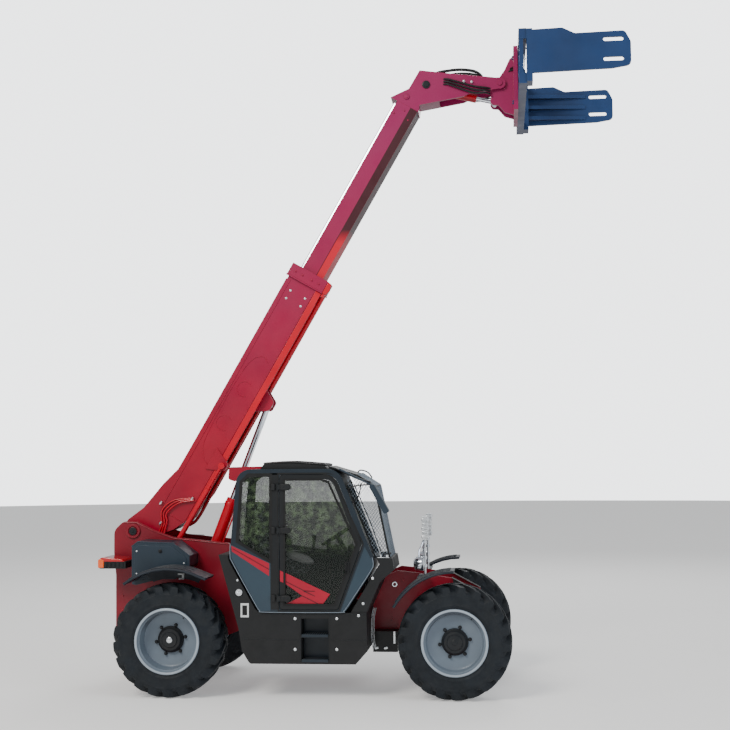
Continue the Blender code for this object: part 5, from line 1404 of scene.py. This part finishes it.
intake = addTurned(bmesh.new(), atPoint(1.55, 0.70, 1.285), (0, 0, 1),
                   [(0, 0.035), (0.10, 0.035), (0.105, 0.075), (0.165, 0.080), (0.185, 0.060), (0.190, 0.0)], 32)
finishPiece("airIntake", intake, "blackPlastic", "chassis", 40.0)

# Axles
for axle, x in (("rear", 0.0), ("front", frontAxleX)):
    ahead = 1 if axle == "front" else -1
    cover = addTurned(bmesh.new(), atPoint(x + ahead * 0.13, 0.0, 0.59), (ahead, 0, 0),
                      [(0, 0.150), (0.022, 0.150), (0.026, 0.142), (0.040, 0.105), (0.046, 0.045),
                       (0.046, 0.0)], 36)
    finishPiece(axle + "DiffCover", cover, "castEnamel", "chassis", crisp)
    rowOf(axle + "DiffBolts", boltSource,
          [(atPoint(x + ahead * 0.152, 0.134 * math.cos(a), 0.59 + 0.134 * math.sin(a)),
            Vector((ahead, 0, 0)))
           for a in [i * math.pi / 6 for i in range(12)]], "zincPlate", "chassis", 0.8)
    for side, place in bothSides:
        knuckle = "%s_%s_knuckle" % (axle, place)
        low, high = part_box(knuckle)
        caps = bmesh.new()
        kingpinY = side * 0.80
        for z, way in ((high[2] - 0.002, 1), (low[2] + 0.002, -1)):
            addTurned(caps, Vector((low[0] / 2 + high[0] / 2, kingpinY, z)), (0, 0, way),
                      [(0, 0.036), (0.008, 0.036), (0.011, 0.030), (0.014, 0.012), (0.014, 0.0)], 24)
        finishPiece(knuckle + "Caps", caps, "castEnamel", knuckle, crisp)
print("engine side and axles dressed")

# Lift cylinder: end cap and hose on the barrel
liftFoot, liftTop = Vector((-0.010, 0, 0.845)), Vector((0.905, 0, 3.115))
liftWay = (liftTop - liftFoot).normalized()


def onLift(along, y=0.0, out=0.0):
    side = Vector((liftWay.z, 0, -liftWay.x))
    point = liftFoot + liftWay * along + side * out
    return atPoint(point.x, y, point.z)


gland = addRing(bmesh.new(), onLift(1.20), atPoint(liftTop.x, 0, liftTop.z) - atPoint(liftFoot.x, 0, liftFoot.z),
                [(0.0, 0.055), (0.040, 0.055), (0.040, 0.064), (0.036, 0.066), (0.0, 0.066)], 32)
finishPiece("liftGland", gland, "cylinderEnamel", "lift_barrel", crisp)
liftPipe = addTube(bmesh.new(), smoothPath([onLift(0.16, -0.045, 0.055), onLift(0.20, -0.040, 0.085),
                                            onLift(0.60, -0.035, 0.086), onLift(1.10, -0.030, 0.088),
                                            onLift(1.20, -0.025, 0.072)], 6), 0.009, 8)
finishPiece("liftPipe", liftPipe, "cylinderEnamel", "lift_barrel")
print("lift cylinder dressed")

# Seat
seat = {"middle": -0.715, "startSize": 0.955, "voxel": 0.008, "soften": 12, "pressure": 4.0, "frames": 20,
        "cap": 0.014, "welt": 0.145, "backWelt": 0.140, "seamWidth": 0.009, "seamDepth": 0.009}


def flatFoot(point, low, high):
    return point.z < low.z + 0.012


# True near the seat back's rear face, which leans with the shell
def flatBack(point, low, high):
    share = (point.z - low.z) / (high.z - low.z)
    return point.x < low.x + 0.090 * (1 - share) + 0.012


# Cloth-inflated copy of a CAD soft solid: it starts 5 % small, swells, and keeps its resting face flat
def puffed(name, node, stays, seams):
    low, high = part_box(node)
    centre = (low + high) / 2
    shape = bmesh.new()
    shape.from_mesh(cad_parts[node].data)
    bmesh.ops.remove_doubles(shape, verts=shape.verts, dist=0.0001)
    bmesh.ops.recalc_face_normals(shape, faces=shape.faces)
    for vert in shape.verts:
        vert.co = centre + (vert.co - centre) * seat["startSize"]
    start = bpy.data.meshes.new(name)
    shape.to_mesh(start)
    shape.free()
    host = bpy.data.objects.new("seatHost", start)
    bpy.context.scene.collection.objects.link(host)
    remesh = host.modifiers.new("Remesh", "REMESH")
    remesh.mode, remesh.voxel_size = "VOXEL", seat["voxel"]
    soften = host.modifiers.new("Soften", "SMOOTH")
    soften.iterations = seat["soften"]
    bpy.context.view_layer.update()
    mesh = bpy.data.meshes.new_from_object(host.evaluated_get(bpy.context.evaluated_depsgraph_get()))
    host.modifiers.clear()
    host.data = mesh
    begin = [v.co.copy() for v in mesh.vertices]
    cloth = host.modifiers.new("Cloth", "CLOTH")
    cloth.settings.use_pressure = True
    cloth.settings.uniform_pressure_force = seat["pressure"]
    cloth.settings.effector_weights.gravity = 0.0
    cloth.settings.quality = 5
    cloth.point_cache.frame_start, cloth.point_cache.frame_end = 1, seat["frames"]
    for frameNumber in range(1, seat["frames"] + 1):
        bpy.context.scene.frame_set(frameNumber)
    swollen = bpy.data.meshes.new_from_object(host.evaluated_get(bpy.context.evaluated_depsgraph_get()))
    end = [v.co.copy() for v in swollen.vertices]
    bpy.context.scene.frame_set(1)
    host.modifiers.clear()
    for i, vert in enumerate(mesh.vertices):
        if stays(begin[i], low, high):
            continue
        swell = end[i] - begin[i]
        if swell.length > seat["cap"]:
            swell *= seat["cap"] / swell.length
        vert.co = begin[i] + swell
    mesh.update()
    normals = [v.normal.copy() for v in mesh.vertices]
    for vert, normal in zip(mesh.vertices, normals):
        depth = seams(vert.co) if not stays(begin[vert.index], low, high) else 0.0
        vert.co = vert.co - normal * depth
    bpy.data.objects.remove(host)
    piece = finishPiece(name, mesh, "seatWeave", "chassis", 80.0, subdivide=1)
    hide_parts(node)
    return piece


def groove(distance, width=seat["seamWidth"], depth=seat["seamDepth"]):
    return depth * math.exp(-(distance / width) ** 2)


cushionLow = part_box("seat_cushion")[0]


def cushionSeams(p):
    bolster = max(groove(p.y - (seat["middle"] - seat["welt"])),
                  groove(p.y - (seat["middle"] + seat["welt"])))
    cross = groove(p.x - (cushionLow.x + 0.17)) if abs(p.y - seat["middle"]) < seat["welt"] else 0.0
    front = groove(p.z - 1.345, 0.006, 0.006)
    return max(bolster, cross, front)


def backSeams(p):
    bolster = max(groove(p.y - (seat["middle"] - seat["backWelt"])),
                  groove(p.y - (seat["middle"] + seat["backWelt"])))
    inside = abs(p.y - seat["middle"]) < seat["backWelt"]
    cross = max(groove(p.z - z) for z in (1.60, 1.78, 1.93)) if inside else 0.0
    return max(bolster, cross)


puffed("cushionSeat", "seat_cushion", flatFoot, cushionSeams)
puffed("cushionBack", "seat_back", flatBack, backSeams)
shell = bmesh.new()
addPlate(shell, [(0.885, 1.47), (0.950, 1.435), (0.955, 1.50), (0.880, 2.02), (0.862, 2.02)], -0.925, -0.505)
finishPiece("seatShell", shell, "blackPlastic", "chassis", crisp, bevel=0.006, segments=3)
bellows = bmesh.new()
for i in range(6):
    z = 0.985 + i * 0.045
    for zLow, grow in ((z, 0.010), (z + 0.012, 0.018), (z + 0.024, 0.010)):
        addBox(bellows, (1.06 - grow, -0.91 - grow, zLow), (1.40 + grow, -0.52 + grow, zLow + 0.012))
finishPiece("seatBellows", bellows, "sealRubber", "chassis", crisp)
belt = addTube(bmesh.new(), smoothPath([(1.00, -0.958, 1.30), (1.01, -0.962, 1.38),
                                        (1.03, -0.955, 1.46), (1.05, -0.95, 1.47)], 5), 0.012, 8)
finishPiece("beltBuckle", belt, "blackPlastic", "chassis")
print("seat made")

# Floor, lights, camera
studio = {"floorRadius": 60.0, "floorGlow": 0.28, "skySeen": 3.5, "skyLight": 0.55}
floorMaterial, floorTree, floorShader, floorAt = startMaterial(
    "studioFloor", {"Roughness": 0.8, "Specular IOR Level": 0.1, "Emission Color": linear("#ffffff"),
                    "Emission Strength": studio["floorGlow"]}, {"mottle": (900.0, 3.0, 0.5)})
finishMaterial(floorTree, floorShader, layered(floorTree, "#f2f2f1",
                                               [("#eeeeed", [(floorAt["mottle"], 0.0, 1.0)])]))
floorShape = bmesh.new()
bmesh.ops.create_circle(floorShape, cap_ends=True, radius=studio["floorRadius"], segments=64)
floorMesh = bpy.data.meshes.new("floor")
floorShape.to_mesh(floorMesh)
floorShape.free()
floorMesh.materials.append(floorMaterial)
floor = bpy.data.objects.new("floor", floorMesh)
bpy.context.scene.collection.objects.link(floor)

world = bpy.data.worlds.new("studio")
bpy.context.scene.world = world
world.use_nodes = True
sky = world.node_tree.nodes["Background"]
sky.inputs["Color"].default_value = linear("#f4f6f8")
seen = addNode(world.node_tree, "ShaderNodeLightPath").outputs["Is Camera Ray"]
glow = addNode(world.node_tree, "ShaderNodeMapRange", {"To Min": studio["skyLight"],
                                                       "To Max": studio["skySeen"]}, {"Value": seen})
world.node_tree.links.new(glow.outputs[0], sky.inputs["Strength"])


def softLight(name, place, target, size, power, colour):
    light = bpy.data.lights.new(name, "AREA")
    light.shape, light.size, light.energy, light.color = "DISK", size, power, linear(colour)[:3]
    lamp = bpy.data.objects.new(name, light)
    lamp.location = place
    lamp.rotation_euler = (Vector(target) - Vector(place)).to_track_quat("-Z", "Y").to_euler()
    bpy.context.scene.collection.objects.link(lamp)


lights = {"keyLight": ((-7.0, -13.0, 13.0), (0, 0, 2.5), 7.0, 2000.0, "#fffaf2"),
          "fillLight": ((11.0, -9.0, 7.0), (0.5, 0, 2.5), 8.0, 500.0, "#eef4ff"),
          "backLight": ((2.0, 13.0, 12.0), (0, 0, 3.0), 8.0, 800.0, "#ffffff")}
for name, settings in lights.items():
    softLight(name, *settings)

view = {"place": (3.484, -14.809, 2.497), "turn": 5.763, "tilt": 93.975, "roll": -0.447, "lens": 65.2,
        "sensor": 36.0}
camera = bpy.data.objects.new("camera", bpy.data.cameras.new("camera"))
camera.data.lens, camera.data.sensor_width = view["lens"], view["sensor"]
camera.data.clip_end = 200.0
camera.matrix_world = Matrix.Translation(atPoint(*view["place"]))
for label, axis in (("turn", "Z"), ("tilt", "X"), ("roll", "Z")):
    camera.matrix_world = camera.matrix_world @ Matrix.Rotation(math.radians(view[label]), 4, axis)
bpy.context.scene.collection.objects.link(camera)
bpy.context.scene.camera = camera

for source in (list(lugSources.values()) + list(studSources.values())
               + [nutSource, boltSource, buttonSource, ventSource, treadSource, louvreSource]):
    bpy.data.objects.remove(source)
print("scene ready")
